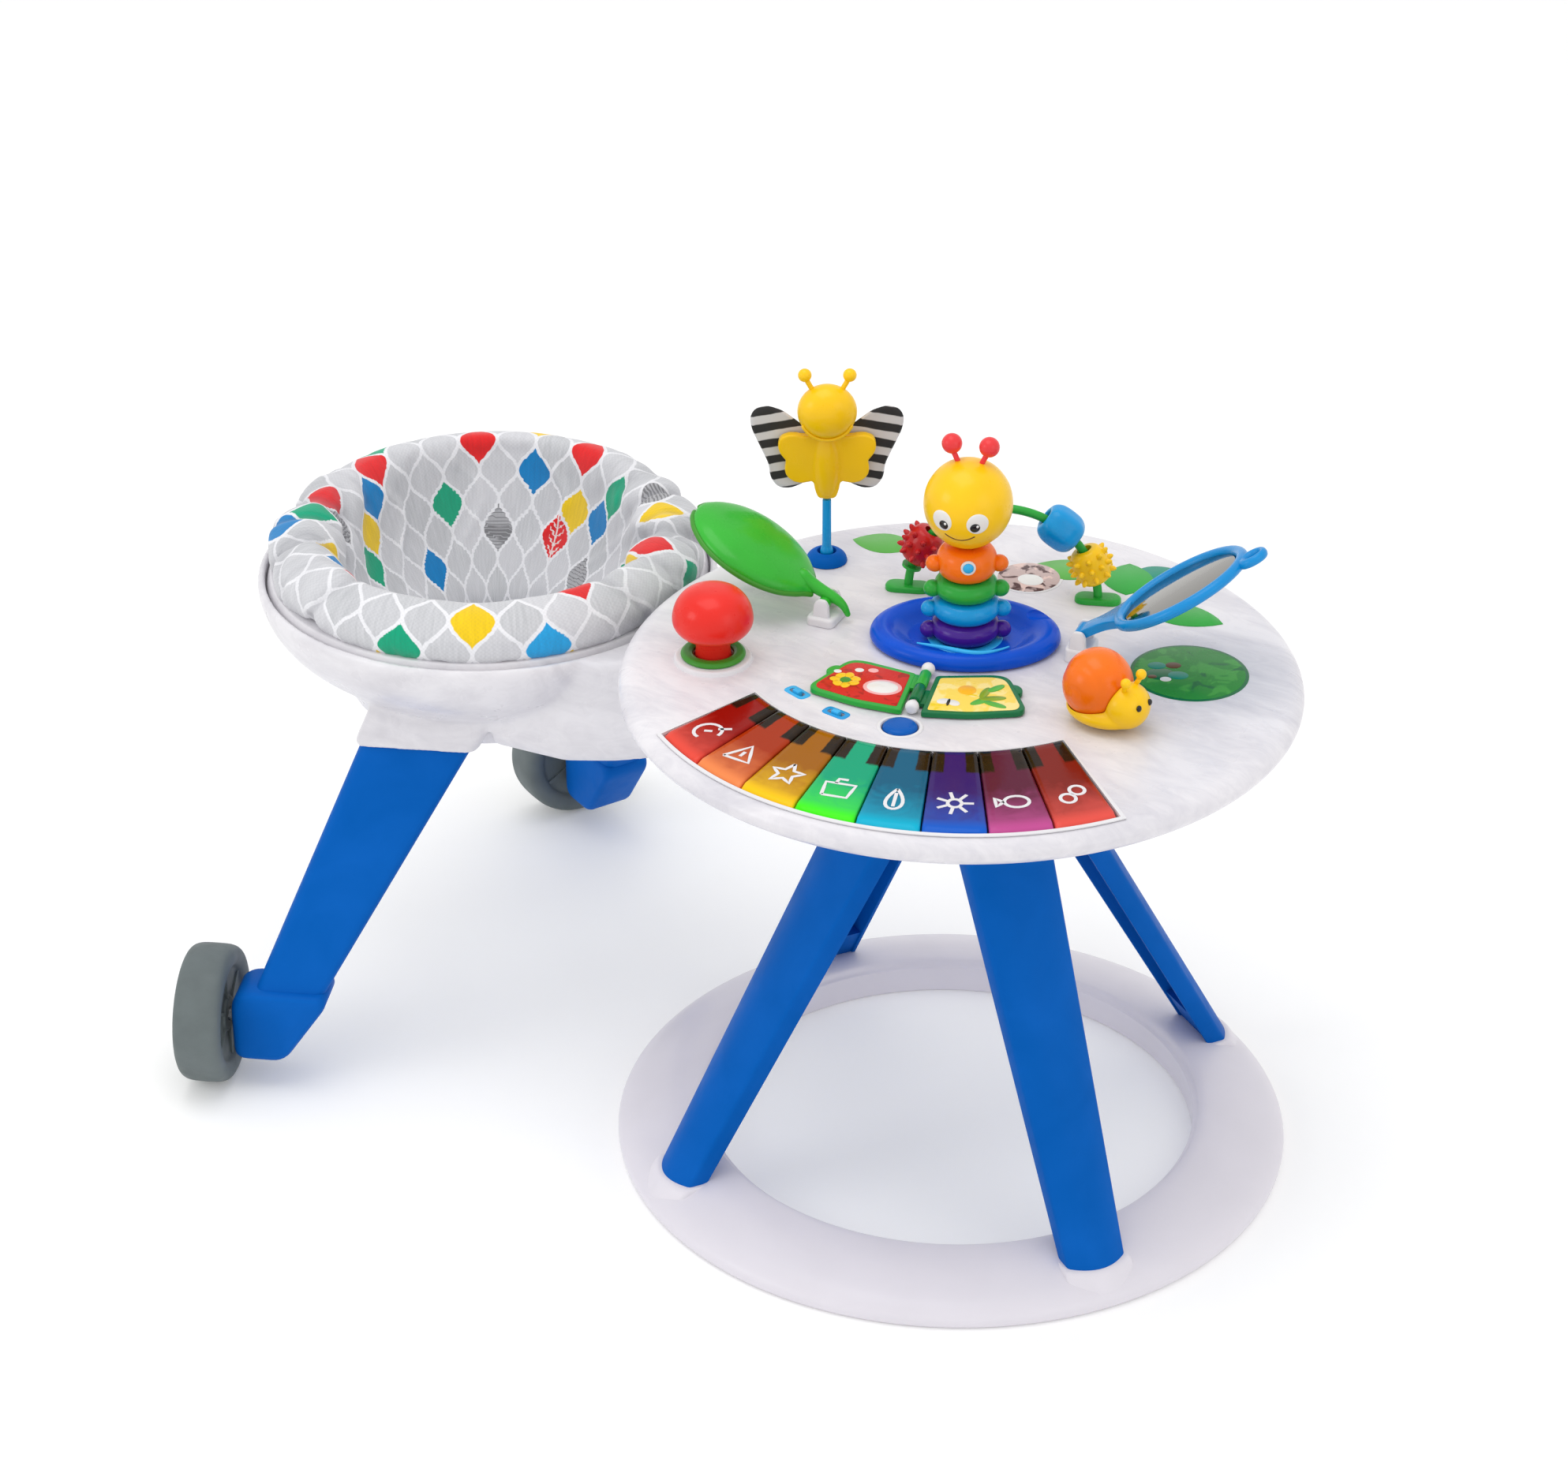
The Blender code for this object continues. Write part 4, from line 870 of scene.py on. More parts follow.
    leaves = [
        (-0.180, 0.171, 0.062, 0.040, 0.3, PALE_GREEN), (-0.010, 0.214, 0.080, 0.040, 0.5, PALE_GREEN),
        (0.045, 0.226, 0.062, 0.046, 2.0, GREEN)
    ]
    leaves += [
        (0.086, 0.228, 0.075, 0.044, 0.6, PALE_GREEN), (0.062, 0.247, 0.050, 0.034, 0.9, TEAL),
        (0.118, 0.190, 0.080, 0.040, 0.1, GREEN)
    ]
    for i, (x, y, length, width, yaw, m) in enumerate(leaves):
        patch(f"leaf_print_{i + 1}", leaf_outline(x, y, length, width, yaw), m, 0.0004 + 0.0002 * (i % 3))


def key_mesh(first, last, columns=8, rows=14):
    """One key: flat top with softened edges, and its place along and across kept as UV."""
    edge = 0.0012
    low_edge = 0.0030
    points, uvs, faces = [], [], []
    half_gap = edge / 0.035

    def ring_point(s, t, inset, z):
        s = min(max(s, inset * half_gap), 1 - inset * half_gap)
        t = min(max(t, inset * 0.014), 1 - inset * (0.014 if z > KEY_TOP - 0.0003 else 0.008))
        p = key_point(first + (last - first) * s, t)
        points.append((p.x, p.y, z))
        uvs.append((s, t))
        return len(points) - 1

    grid = [[None] * (columns + 1) for _ in range(rows + 1)]
    for j in range(rows + 1):
        for i in range(columns + 1):
            s, t = i / columns, j / rows
            fall = low_edge * max(0, (t - 0.93) / 0.07) ** 2
            grid[j][i] = ring_point(s, t, 1, KEY_TOP - fall * 0.8)
    for j in range(rows):
        for i in range(columns):
            faces.append((grid[j][i], grid[j][i + 1], grid[j + 1][i + 1], grid[j + 1][i]))
    rim = grid[0] + [grid[j][columns] for j in range(1, rows + 1)]
    rim += grid[rows][-2::-1] + [grid[j][0] for j in range(rows - 1, 0, -1)]
    share = [(i / columns, 0) for i in range(columns + 1)] + [(1, j / rows) for j in range(1, rows + 1)]
    share += [
        (i / columns, 1) for i in range(columns - 1, -1, -1)
    ] + [(0, j / rows) for j in range(rows - 1, 0, -1)]
    previous = rim
    for inset, drop in ((0.55, 0.0004), (0.15, 0.0012), (0.0, 0.0022), (0.0, KEY_TOP - KEY_LOW)):
        ring = []
        for s, t in share:
            fall = low_edge * max(0, (t - 0.93) / 0.07) ** 2
            ring.append(ring_point(s, t, inset, max(KEY_TOP - fall - drop, KEY_LOW)))
        for i in range(len(ring)):
            k = (i + 1) % len(ring)
            faces.append((previous[i], previous[k], ring[k], ring[i]))
        previous = ring
    faces.append(tuple(previous))
    return points, faces, uvs


# Per key: deep colour, and bright colour that also paints the rim highlight
KEY_SHADES = [
    ((0.270, 0.005, 0.002), (0.780, 0.075, 0.050)),
    ((0.360, 0.030, 0.002), (0.860, 0.250, 0.080)),
    ((0.330, 0.110, 0.001), (0.900, 0.550, 0.010)),
    ((0.003, 0.340, 0.170), (0.060, 0.850, 0.010)),
    ((0.001, 0.100, 0.190), (0.005, 0.430, 0.620)),
    ((0.035, 0.008, 0.130), (0.010, 0.110, 0.560)),
    ((0.100, 0.008, 0.032), (0.520, 0.080, 0.280)),
    ((0.200, 0.012, 0.006), (0.760, 0.090, 0.070)),
]


def icon_lines(kind):
    """Simple line drawings in a unit square, as lists of points."""
    ring = [(0.32 * cos(a), 0.32 * sin(a)) for a in sweep(20)]
    tips = [0.19 if i % 2 else 0.42 for i in range(11)]
    star = [(r * sin(pi * i / 5), r * cos(pi * i / 5)) for i, r in enumerate(tips)]
    drop = [(0.26 * sin(a) * sin(a / 2), 0.40 * cos(a)) for a in sweep(20)]
    rays = [[(r * cos(a), r * sin(a)) for r in (0.20, 0.44)] for a in sweep(7)[:-1]]
    shapes = {
        0: [ring[:16], [(0.12, 0.20), (0.36, 0.40)], [(-0.08, -0.04), (0.08, 0.06)]],
        1: [[(-0.35, -0.25), (0.0, 0.38), (0.35, -0.25), (-0.35, -0.25)], [(0, 0.1), (0, -0.1)]],
        2: [star],
        3: [
            [(-0.30, -0.30), (0.30, -0.30), (0.36, 0.22), (-0.36, 0.22), (-0.30, -0.30)],
            [(-0.12, 0.22), (-0.10, 0.40), (0.12, 0.40)]
        ],
        4: [drop, [(0, -0.30), (0, 0.24)]],
        5: [[(x * 0.5, y * 0.5) for x, y in ring], *rays],
        6: [
            [(0.9 * x + 0.05, 0.7 * y) for x, y in ring],
            [(-0.26, 0.0), (-0.44, 0.18), (-0.44, -0.18), (-0.26, 0.0)]
        ],
        7: [
            [(0.55 * x - 0.14, 0.55 * y - 0.14) for x, y in ring],
            [(0.55 * x + 0.16, 0.55 * y + 0.14) for x, y in ring]
        ],
    }
    return shapes[kind]


def ribbon(path, width, low, high):
    """Flat strip along a path, closed with flat ends."""
    path = [Vector((x, y)) for x, y in path]
    left, right = [], []
    for i, here in enumerate(path):
        ahead = (path[min(i + 1, len(path) - 1)] - path[max(i - 1, 0)]).normalized()
        side = Vector((-ahead.y, ahead.x)) * width / 2
        left.append(here + side)
        right.append(here - side)
    points, faces = [], []
    for i in range(len(path)):
        points += [(*left[i], low), (*right[i], low), (*right[i], high), (*left[i], high)]
    for i in range(len(path) - 1):
        a, b = i * 4, (i + 1) * 4
        faces += [(a + j, a + (j + 1) % 4, b + (j + 1) % 4, b + j) for j in range(4)]
    end = (len(path) - 1) * 4
    faces += [(0, 1, 2, 3), (end, end + 1, end + 2, end + 3)]
    return points, faces


def dense(path, steps=4):
    out = []
    for a, b in zip(path, path[1:]):
        out += [tuple(Vector(a).lerp(Vector(b), i / steps)) for i in range(steps)]
    return out + [tuple(path[-1])]


def keyboard():
    gap = 0.0016
    for number in range(KEY_COUNT):
        body = f"piano_key_{number + 1}"
        first, last = number / KEY_COUNT + gap, (number + 1) / KEY_COUNT - gap
        points, faces, uvs = key_mesh(first, last)
        made = bare(f"key_{number + 1}", (points, faces))
        layer = made.data.uv_layers.new(name="UVMap")
        for loop in made.data.loops:
            layer.data[loop.index].uv = uvs[loop.vertex_index]
        made.data.transform(Matrix.Translation(TABLE))
        smooth(made, 50)
        deep, bright = KEY_SHADES[number]
        finish_piece(
            made, key_glaze(f"key_glaze_{number + 1}", deep, bright), body,
            [f"piano_key_{number + 1}"]
        )
        centre = key_point((first + last) / 2, 0.66)
        ahead = key_point((first + last) / 2, 0.9) - centre
        turn = atan2(-ahead.x, ahead.y) + pi
        at = Matrix.Translation((centre.x, centre.y, KEY_TOP)) @ Matrix.Rotation(turn, 4, "Z")
        size = 0.0360
        strips = [
            ribbon(dense([(x * size, y * size * 1.12) for x, y in path], 2), 0.0030, -0.0002, 0.00035)
            for path in icon_lines(number)
        ]
        make(f"key_icon_{number + 1}", strips, TRIM_WHITE, body, at=at, angle=50)


def controls():
    button = middle("select_button") - TABLE
    dome = rounded(
        [(0, -0.010), (0.0154, -0.010), (0.0154, 0.0006), (0.0120, 0.0036), (0, 0.0042)],
        [0, 0.0005, 0.003, 0.005, 0], 5
    )
    make(
        "mode_button", [turned(dome, 64)], BUTTON_BLUE, "select_button", ["select_button"],
        at=place(button.x, button.y, LID_TOP)
    )
    for name, yaw in SWITCHES:
        at = middle(name) - TABLE
        knob = rounded(rectangle(0.0040, 0.0026), 0.0012)
        make(
            f"{name}_knob", [pillow(knob, -0.008, 0.0028, 0.0009)], LIGHT_CYAN, name, [name],
            at=place(at.x, at.y, LID_TOP, yaw)
        )
        plate = rounded(rectangle(0.0125, 0.0066), 0.005)
        hole = rounded(rectangle(0.0085, 0.0032), 0.003)
        make(
            f"{name}_plate", [pillow(plate, -0.0002, 0.0005, 0.0003)],
            LIGHT_CYAN if name == "power_switch" else CYAN, "stand",
            at=place(at.x, at.y, LID_TOP, yaw), cuts=[prism(hole, -0.01, 0.01)]
        )


# ---------------------------------------------------------------- seat shell, legs and wheels
SEAT_LEG_HEAD = Vector((-0.488, -0.136, 0.347))
SEAT_LEG_FOOT = Vector((-0.567, -0.264, 0.096))


def seat_leg_section(side, z, grow=0.0, corner=0.012):
    share = (z - SEAT_LEG_FOOT.z) / (SEAT_LEG_HEAD.z - SEAT_LEG_FOOT.z)
    centre = SEAT_LEG_FOOT.lerp(SEAT_LEG_HEAD, share)
    wide, thick = (0.066 + 0.040 * share) / 2 + grow, (0.040 + 0.004 * share) / 2 + grow
    outline = rounded(rectangle(wide, thick), corner, 6)
    along = Vector((cos(WHEEL_AZIMUTH), sin(WHEEL_AZIMUTH)))
    across = Vector((-along.y, along.x))
    ring = [centre.xy + along * x + across * y for x, y in outline]
    return [(p.x, p.y * side, z) for p in ring]


def neck_ring(x, half, low, high, lean=0.0, soft=0.014):
    outline = rounded(
        [(-half, low), (half, low), (half, high), (-half, high)], [soft, soft, soft * 0.7, soft * 0.7], 5
    )
    return [(x - lean * (high - z), y, z) for y, z in outline]


def seat_shell():
    outer = [
        (0, SHELL_TOP), (0.2125, SHELL_TOP), (SHELL_RADIUS, 0.4455), (SHELL_RADIUS, 0.4380), (0.2135, 0.4260),
        (0.2080, 0.4125)
    ]
    outer += [
        (0.1965, 0.3960), (0.1765, 0.3790), (0.1575, 0.3640), (0.1440, 0.3520), (0.1370, 0.3400),
        (0.1345, 0.3270), (0, 0.3270)
    ]
    outer = rounded(
        outer, [0, 0.003, 0.005, 0.006, 0.007, 0.009, 0.011, 0.012, 0.010, 0.009, 0.008, 0.003, 0], 4
    )
    inner = [
        (0, SHELL_TOP + 0.02), (0.2090, SHELL_TOP + 0.02), (0.2085, 0.4315), (0.2000, 0.4315),
        (0.1970, 0.4180), (0.1885, 0.4030)
    ]
    inner += [
        (0.1695, 0.3860), (0.1505, 0.3700), (0.1375, 0.3570), (0.1310, 0.3430), (0.1290, 0.3070), (0, 0.3070)
    ]
    at = Matrix.Translation((SEAT_X, 0, 0))
    arm_top = 0.4572
    neck = [
        (-0.046, 0.060, 0.4300, arm_top),
        (-0.110, 0.065, 0.4300, arm_top),
        (-0.138, 0.068, 0.4200, arm_top),
        (-0.160, 0.071, 0.4020, arm_top),
        (-0.200, 0.078, 0.3720, arm_top),
        (-0.260, 0.088, 0.3520, arm_top),
        (-0.305, 0.106, 0.3440, 0.4490),
        (-0.345, 0.122, 0.3400, 0.4470),
        (-0.420, 0.128, 0.3380, 0.4440),
    ]
    body = bare("seat_shell", moved(turned(outer, 160), at))
    parts = [
        loft([neck_ring(*section) for section in neck]),
        turned([(0, 0.4288), (0.078, 0.4288), (0.078, 0.4582), (0, 0.4582)], 96)
    ]
    for side in (1, -1):
        parts.append(loft([seat_leg_section(side, z, 0.0062, 0.014) for z in (0.3340, 0.3900)]))
    boolean(body, parts, "UNION")
    cuts = [moved(turned(inner, 160), at)]
    channel = [neck_ring(x, half - 0.005, low - 0.05, high - 0.005) for x, half, low, high in neck[3:6]]
    x, half, low, high = neck[6]
    channel.append(neck_ring(x, half - 0.005, low - 0.05, high - 0.005, lean=0.30))
    cuts.append(loft(channel))
    cuts.append(pin(0.0450, 0.40, 0.48, 96))
    for side in (1, -1):
        cuts.append(loft([seat_leg_section(side, z, 0.0005, 0.012) for z in (0.300, 0.3400)]))
    boolean(body, cuts)
    evened(body, 0.0024, 20)
    body.data.transform(Matrix.Translation(TABLE))
    body.data.shade_smooth()
    finish_piece(body, WHITE, "walker", ["seat_frame"])


def seat_legs():
    for name, side in (("left", 1), ("right", -1)):
        heights = sweep(6, SEAT_LEG_HEAD.z - SEAT_LEG_FOOT.z, SEAT_LEG_FOOT.z)
        make(
            f"walker_leg_{name}", [loft([seat_leg_section(side, z) for z in heights])], BLUE, "walker",
            [f"seat_leg_{name}"], angle=50
        )
        yaw = pi + WHEEL_AZIMUTH * side
        boot = [
            (0.630, 0.030), (0.678, 0.030), (0.678, 0.094), (0.666, 0.105), (0.588, 0.105), (0.586, 0.094)
        ]
        boot = rounded(boot, [0.012, 0.012, 0.016, 0.012, 0.006, 0.010], 5)
        edge = 0.008
        centre = Vector((0.636, 0.075))
        rows = []
        half = [(0.026, 1.0), (0.0252, 0.55), (0.0232, 0.20), (0.0195, 0.0)]
        for y, inset in [(-y, inset) for y, inset in half] + half[::-1]:
            pull = inset * edge / 0.045
            rows.append([(x + (centre.x - x) * pull, y, z + (centre.y - z) * pull) for x, z in boot])
        bore = [along_x_at(0.0075, 0.6495, 0.70, WHEEL_RADIUS)]
        at = place(0, 0, 0, yaw)
        make(f"walker_boot_{name}", [loft(rows)], BLUE, "walker", [f"leg_boot_{name}"], at, 45, bore)
        hub = place(WHEEL_TRACK * cos(yaw), WHEEL_TRACK * sin(yaw), WHEEL_RADIUS, yaw)
        tread = [
            (0.0066, -0.0175), (0.0160, -0.0175), (0.0175, -0.0150), (0.0440, -0.0150), (0.0470, -0.0205),
            (0.0540, -0.0230)
        ]
        tread += [
            (0.0620, -0.0215), (0.0655, -0.0150), (WHEEL_RADIUS, 0.0), (0.0655, 0.0150), (0.0620, 0.0215)
        ]
        tread += [
            (0.0540, 0.0230), (0.0470, 0.0205), (0.0440, 0.0150), (0.0175, 0.0150), (0.0160, 0.0175),
            (0.0066, 0.0175)
        ]
        tread = rounded(
            tread,
            [
                0.0005, 0.001, 0.001, 0.003, 0.003, 0.003, 0.004, 0.006, 0.01, 0.006, 0.004, 0.003, 0.003,
                0.003, 0.001, 0.001, 0.0005
            ],
            4
        )
        ribs = []
        for i in range(6):
            rib = [
                [(x, y, z) for x, y in ((0.017, -0.0014), (0.046, -0.0018), (0.046, 0.0018), (0.017, 0.0014))]
                for z in (-0.0172, 0.0172)
            ]
            ribs.append(moved(loft(rib), Matrix.Rotation(2 * pi * i / 6, 4, "Z")))
        make(
            f"wheel_tyre_{name}", [along_x(turned(tread, 128))] + [along_x(r) for r in ribs], WHEEL_GREY,
            f"wheel_{name}", [f"wheel_{name}"], at=hub, angle=35
        )
        cap = [
            (0, 0.650), (0.0060, 0.650), (0.0060, WHEEL_TRACK + 0.0182), (0.0115, WHEEL_TRACK + 0.0182),
            (0.0108, WHEEL_TRACK + 0.0205), (0.0070, WHEEL_TRACK + 0.0228), (0, WHEEL_TRACK + 0.0230)
        ]
        cap = rounded(cap, [0, 0.0004, 0.0003, 0.0008, 0.0015, 0.002, 0], 4)
        make(
            f"wheel_pin_{name}", [along_x(turned(cap, 48))], STEEL, "walker", [f"wheel_axle_{name}"],
            at=place(0, 0, WHEEL_RADIUS, yaw)
        )


def along_x_at(radius, low, high, z):
    return moved(along_x(pin(radius, low, high, 32)), Matrix.Translation((0, 0, z)))


# ---------------------------------------------------------------- padded seat
def pad_profile(theta):
    """Section of the pad at an angle from its front: (radius, height) up the outside and down the inside."""
    side = sin(theta) ** 2
    front = max(cos(theta), 0) ** 2
    back = max(-cos(theta), 0) ** 2
    crest_z = 0.4975 + 0.0010 * back - 0.0015 * front - 0.0020 * side
    crest_r = 0.1765 + 0.0040 * back - 0.0015 * side
    lip = 0.1490 - 0.0120 * side + 0.0130 * back + 0.0030 * front
    out = [(0.2015, 0.4522), (0.2035, 0.4625), (0.1990, 0.4800), (crest_r + 0.011, crest_z - 0.0035)]
    top = [(crest_r, crest_z), (crest_r - 0.012, crest_z - 0.003)]
    inside = [
        (lip + 0.006, 0.4800), (lip, 0.4550), (0.1350 - 0.004 * side + 0.006 * back, 0.4200),
        (0.1150, 0.3900), (0.0900, 0.3640)
    ]
    inside += [(0.0850, 0.3340), (0.0720, 0.3150), (0.0430, 0.3025), (0.0, 0.3000)]
    return out + top + inside


PAD_UNDER = [
    (0.0, 0.2860), (0.0500, 0.2900), (0.0810, 0.3035), (0.0960, 0.3280), (0.0990, 0.3640), (0.1240, 0.3780)
]
PAD_UNDER += [(0.1490, 0.3960), (0.1710, 0.4180), (0.1805, 0.4400), (0.1850, 0.4520)]
PAD_TOP = 0.5012
PAD_RADIUS = 0.2045
PAD_SWELL = 0.0045
CLOTH_FRAMES = 20


def pad_solid(steps=96):
    rows = []
    for i in range(steps):
        theta = 2 * pi * i / steps
        upper = curve_through([(r, z) for r, z in pad_profile(theta)], 4)
        under = curve_through(PAD_UNDER, 3)
        section = [(p.x, p.y) for p in under] + [(p.x, p.y) for p in upper]
        rows.append([(r * cos(theta), r * sin(theta), z) for r, z in section])
    count = len(rows[0])
    points = [(0, 0, rows[0][0][2]), (0, 0, rows[0][-1][2])]
    for row in rows:
        points += row[1:-1]
    inner = count - 2
    faces = []
    for i in range(steps):
        k = (i + 1) % steps
        a, b = 2 + i * inner, 2 + k * inner
        faces.append((0, b, a))
        faces.append((1, a + inner - 1, b + inner - 1))
        for j in range(inner - 1):
            faces.append((a + j, b + j, b + j + 1, a + j + 1))
    return points, faces


def leaf_uv(made, matrix):
    """Lays the print: U goes round the seat, V down from the crest on the inside and below zero outside."""
    mesh = made.data
    co = np.empty(len(mesh.vertices) * 3)
    mesh.vertices.foreach_get("co", co)
    co = co.reshape(-1, 3)
    local = (np.array(matrix.inverted()) @ np.c_[co, np.ones(len(co))].T).T[:, :3]
    theta = np.arctan2(local[:, 1], local[:, 0])
    radius = np.hypot(local[:, 0], local[:, 1])
    down = np.zeros(len(co))
    bins = 72
    which = np.floor((theta + pi) / (2 * pi) * bins).astype(int).clip(0, bins - 1)
    for b in range(bins):
        rows = np.nonzero(which == b)[0]
        if not len(rows):
            continue
        angle = -pi + (b + 0.5) * 2 * pi / bins
        path = np.array([(p.x, p.y) for p in curve_through([(r, z) for r, z in pad_profile(angle)], 10)])
        steps = np.r_[0, np.cumsum(np.hypot(*np.diff(path, axis=0).T))]
        crest = steps[path[:, 1].argmax()]
        near = (
            (radius[rows, None] - path[None, :, 0]) ** 2 + (local[rows, 2, None] - path[None, :, 1]) ** 2
        ).argmin(1)
        down[rows] = steps[near] - crest
    # U is counted from the back of the seat, so that the join falls on the front panel between two columns
    back = pi - np.mod(theta + 2 * pi, 2 * pi)
    layer = mesh.uv_layers.new(name="UVMap")
    loops = np.empty(len(mesh.loops), int)
    mesh.loops.foreach_get("vertex_index", loops)
    uv = np.empty((len(mesh.loops), 2))
    span = LEAF_COLUMNS * LEAF_WIDTH / (2 * pi)
    starts = np.empty(len(mesh.polygons), int)
    sizes = np.empty(len(mesh.polygons), int)
    mesh.polygons.foreach_get("loop_start", starts)
    mesh.polygons.foreach_get("loop_total", sizes)
    u = back[loops]
    owner = np.repeat(np.arange(len(starts)), sizes)
    order = np.argsort(np.concatenate([np.arange(s, s + n) for s, n in zip(starts, sizes)]))
    owner = owner[order]
    low = np.full(len(starts), 9.0)
    high = np.full(len(starts), -9.0)
    np.minimum.at(low, owner, u)
    np.maximum.at(high, owner, u)
    wraps = (high - low)[owner] > pi
    u = np.where(wraps & (u < 0), u + 2 * pi, u)
    uv[:, 0] = u * span
    uv[:, 1] = down[loops]
    layer.data.foreach_set("uv", uv.ravel())


def bump_at(values, centre, width):
    return np.exp(-(((values - centre) / width) ** 2))


def pad_folds(theta, radius, z):
    """How far the pad's surface moves out at each point, and how much painted shade darkens its print there.
    """
    sideways = np.abs(theta)
    # Folds where the cloth turns over the side bolsters, and shallow pulls down the back
    bolster = bump_at(sideways, radians(94), radians(36)) * bump_at(z, 0.475, 0.045) * (radius > 0.11)
    crease_and_painted_shade = np.zeros(len(z))
    for count, slant, start, sharp in ((15, 55, 0.0, 0.30), (23, -38, 1.1, 0.22), (9, 80, 2.2, 0.35)):
        phase = theta * count + (z - 0.45) * slant + start
        crease_and_painted_shade += np.exp(-((np.sin(phase / 2) / sharp) ** 2))
    inner_back = bump_at(sideways, radians(150), radians(34)) * bump_at(z, 0.435, 0.045) * (radius < 0.165)
    pulls = np.exp(-((np.sin(theta * 5.5 + 0.4 + 0.6 * np.sin(z * 60)) / 0.16) ** 2))
    wave = np.sin(theta * 13 + 0.7) * np.sin((z - 0.45) * 70 + theta * 2)
    move = -0.0060 * bolster * crease_and_painted_shade + 0.0040 * bolster * wave + 0.0050 * inner_back * pulls
    # Painted shade: dark in the crease troughs and wave troughs over the bolsters, and between the pulls at
    # the back
    shade = np.clip(0.75 * bolster * crease_and_painted_shade, 0, 1) + 0.25 * np.clip(-bolster * wave, 0, 1)
    shade = shade + 0.5 * inner_back * np.clip(0.5 - pulls, 0, 0.5)
    # Seams either side of the front panel, as grooves darkened with painted shade
    for centre in (radians(44), radians(-44)):
        line = np.abs(theta - centre - 0.16 * np.sign(centre) * (0.49 - z) / 0.05) * radius
        groove = np.exp(-((line / 0.0045) ** 2)) * (radius > 0.125) * (z > 0.43)
        move -= 0.0042 * groove
        shade += 0.55 * groove
    return move, shade


def puffed(pad):
    """Swells the pad as cloth under pressure, each point by a few millimetres at most."""
    start = np.array([v.co for v in pad.data.vertices])
    cloth = pad.modifiers.new("cloth", "CLOTH")
    cloth.settings.use_pressure = True
    cloth.settings.uniform_pressure_force = 3.5
    cloth.settings.tension_stiffness = 18
    cloth.settings.compression_stiffness = 12
    cloth.settings.bending_stiffness = 0.4
    cloth.settings.shrink_min = -0.02
    cloth.settings.effector_weights.gravity = 0
    cloth.point_cache.frame_end = CLOTH_FRAMES
    for number in range(1, CLOTH_FRAMES + 1):
        bpy.context.scene.frame_set(number)
    bake(pad)
    bpy.context.scene.frame_set(1)
    after = np.array([v.co for v in pad.data.vertices])
    shift = after - start
    length = np.linalg.norm(shift, axis=1, keepdims=True)
    after = start + shift * np.minimum(1, PAD_SWELL / np.maximum(length, 1e-9))
    pad.data.vertices.foreach_set("co", after.ravel())
    pad.data.update()


def seat_pad():
    matrix = place(TABLE.x + SEAT_X, 0, 0, PAD_FACING)
    pad = bare("seat_cushion", pad_solid())
    holes = []
    splay, out = radians(42), 0.043
    for side in (1, -1):
        lean = Matrix.Rotation(side * splay, 4, "Z") @ Matrix.Rotation(radians(150), 4, "Y")
        centre = Vector((out * cos(splay), out * sin(splay) * side, 0.345))
        holes.append(moved(pin(0.031, -0.020, 0.080, 40), Matrix.Translation(centre) @ lean))
    boolean(pad, holes)
    evened(pad, 0.005)
    puffed(pad)
    co = np.array([v.co for v in pad.data.vertices])
    theta = np.arctan2(co[:, 1], co[:, 0])
    radius = np.hypot(co[:, 0], co[:, 1])
    outward = np.array([v.normal for v in pad.data.vertices])
    move, shade = pad_folds(theta, radius, co[:, 2])
    co += outward * move[:, None]
    co[:, 2] = np.minimum(co[:, 2], PAD_TOP)
    over = np.maximum(np.hypot(co[:, 0], co[:, 1]) / PAD_RADIUS, 1)
    co[:, 0] /= over
    co[:, 1] /= over
    pad.data.vertices.foreach_set("co", co.ravel())
    pad.data.update()
    # The painted shade of creases and seams, kept on the mesh for the print's material
    pad.data.attributes.new("crease_and_painted_shade", "FLOAT", "POINT").data.foreach_set("value", np.clip(shade, 0, 1))
    relax = pad.modifiers.new("relax", "SMOOTH")
    relax.factor = 0.3
    relax.iterations = 1
    soft = pad.modifiers.new("soft", "SUBSURF")
    soft.levels = soft.render_levels = 1
    bake(pad)
    pad.data.transform(matrix)
    leaf_uv(pad, matrix)
    pad.data.shade_smooth()
    finish_piece(pad, SEAT_PRINT, "seat", ["seat_pad"])
    hoop = rounded(
        [
            (0.1875, 0.4360), (0.1900, 0.4325), (0.2070, 0.4325), (0.2072, 0.4420), (0.2035, 0.4508),
            (0.1890, 0.4508)
        ],
        0.002, 4
    )
    make("swivel_ring", [turned(hoop, 160)], WHITE, "seat", ["seat_ring"], at=place(SEAT_X, 0, 0))


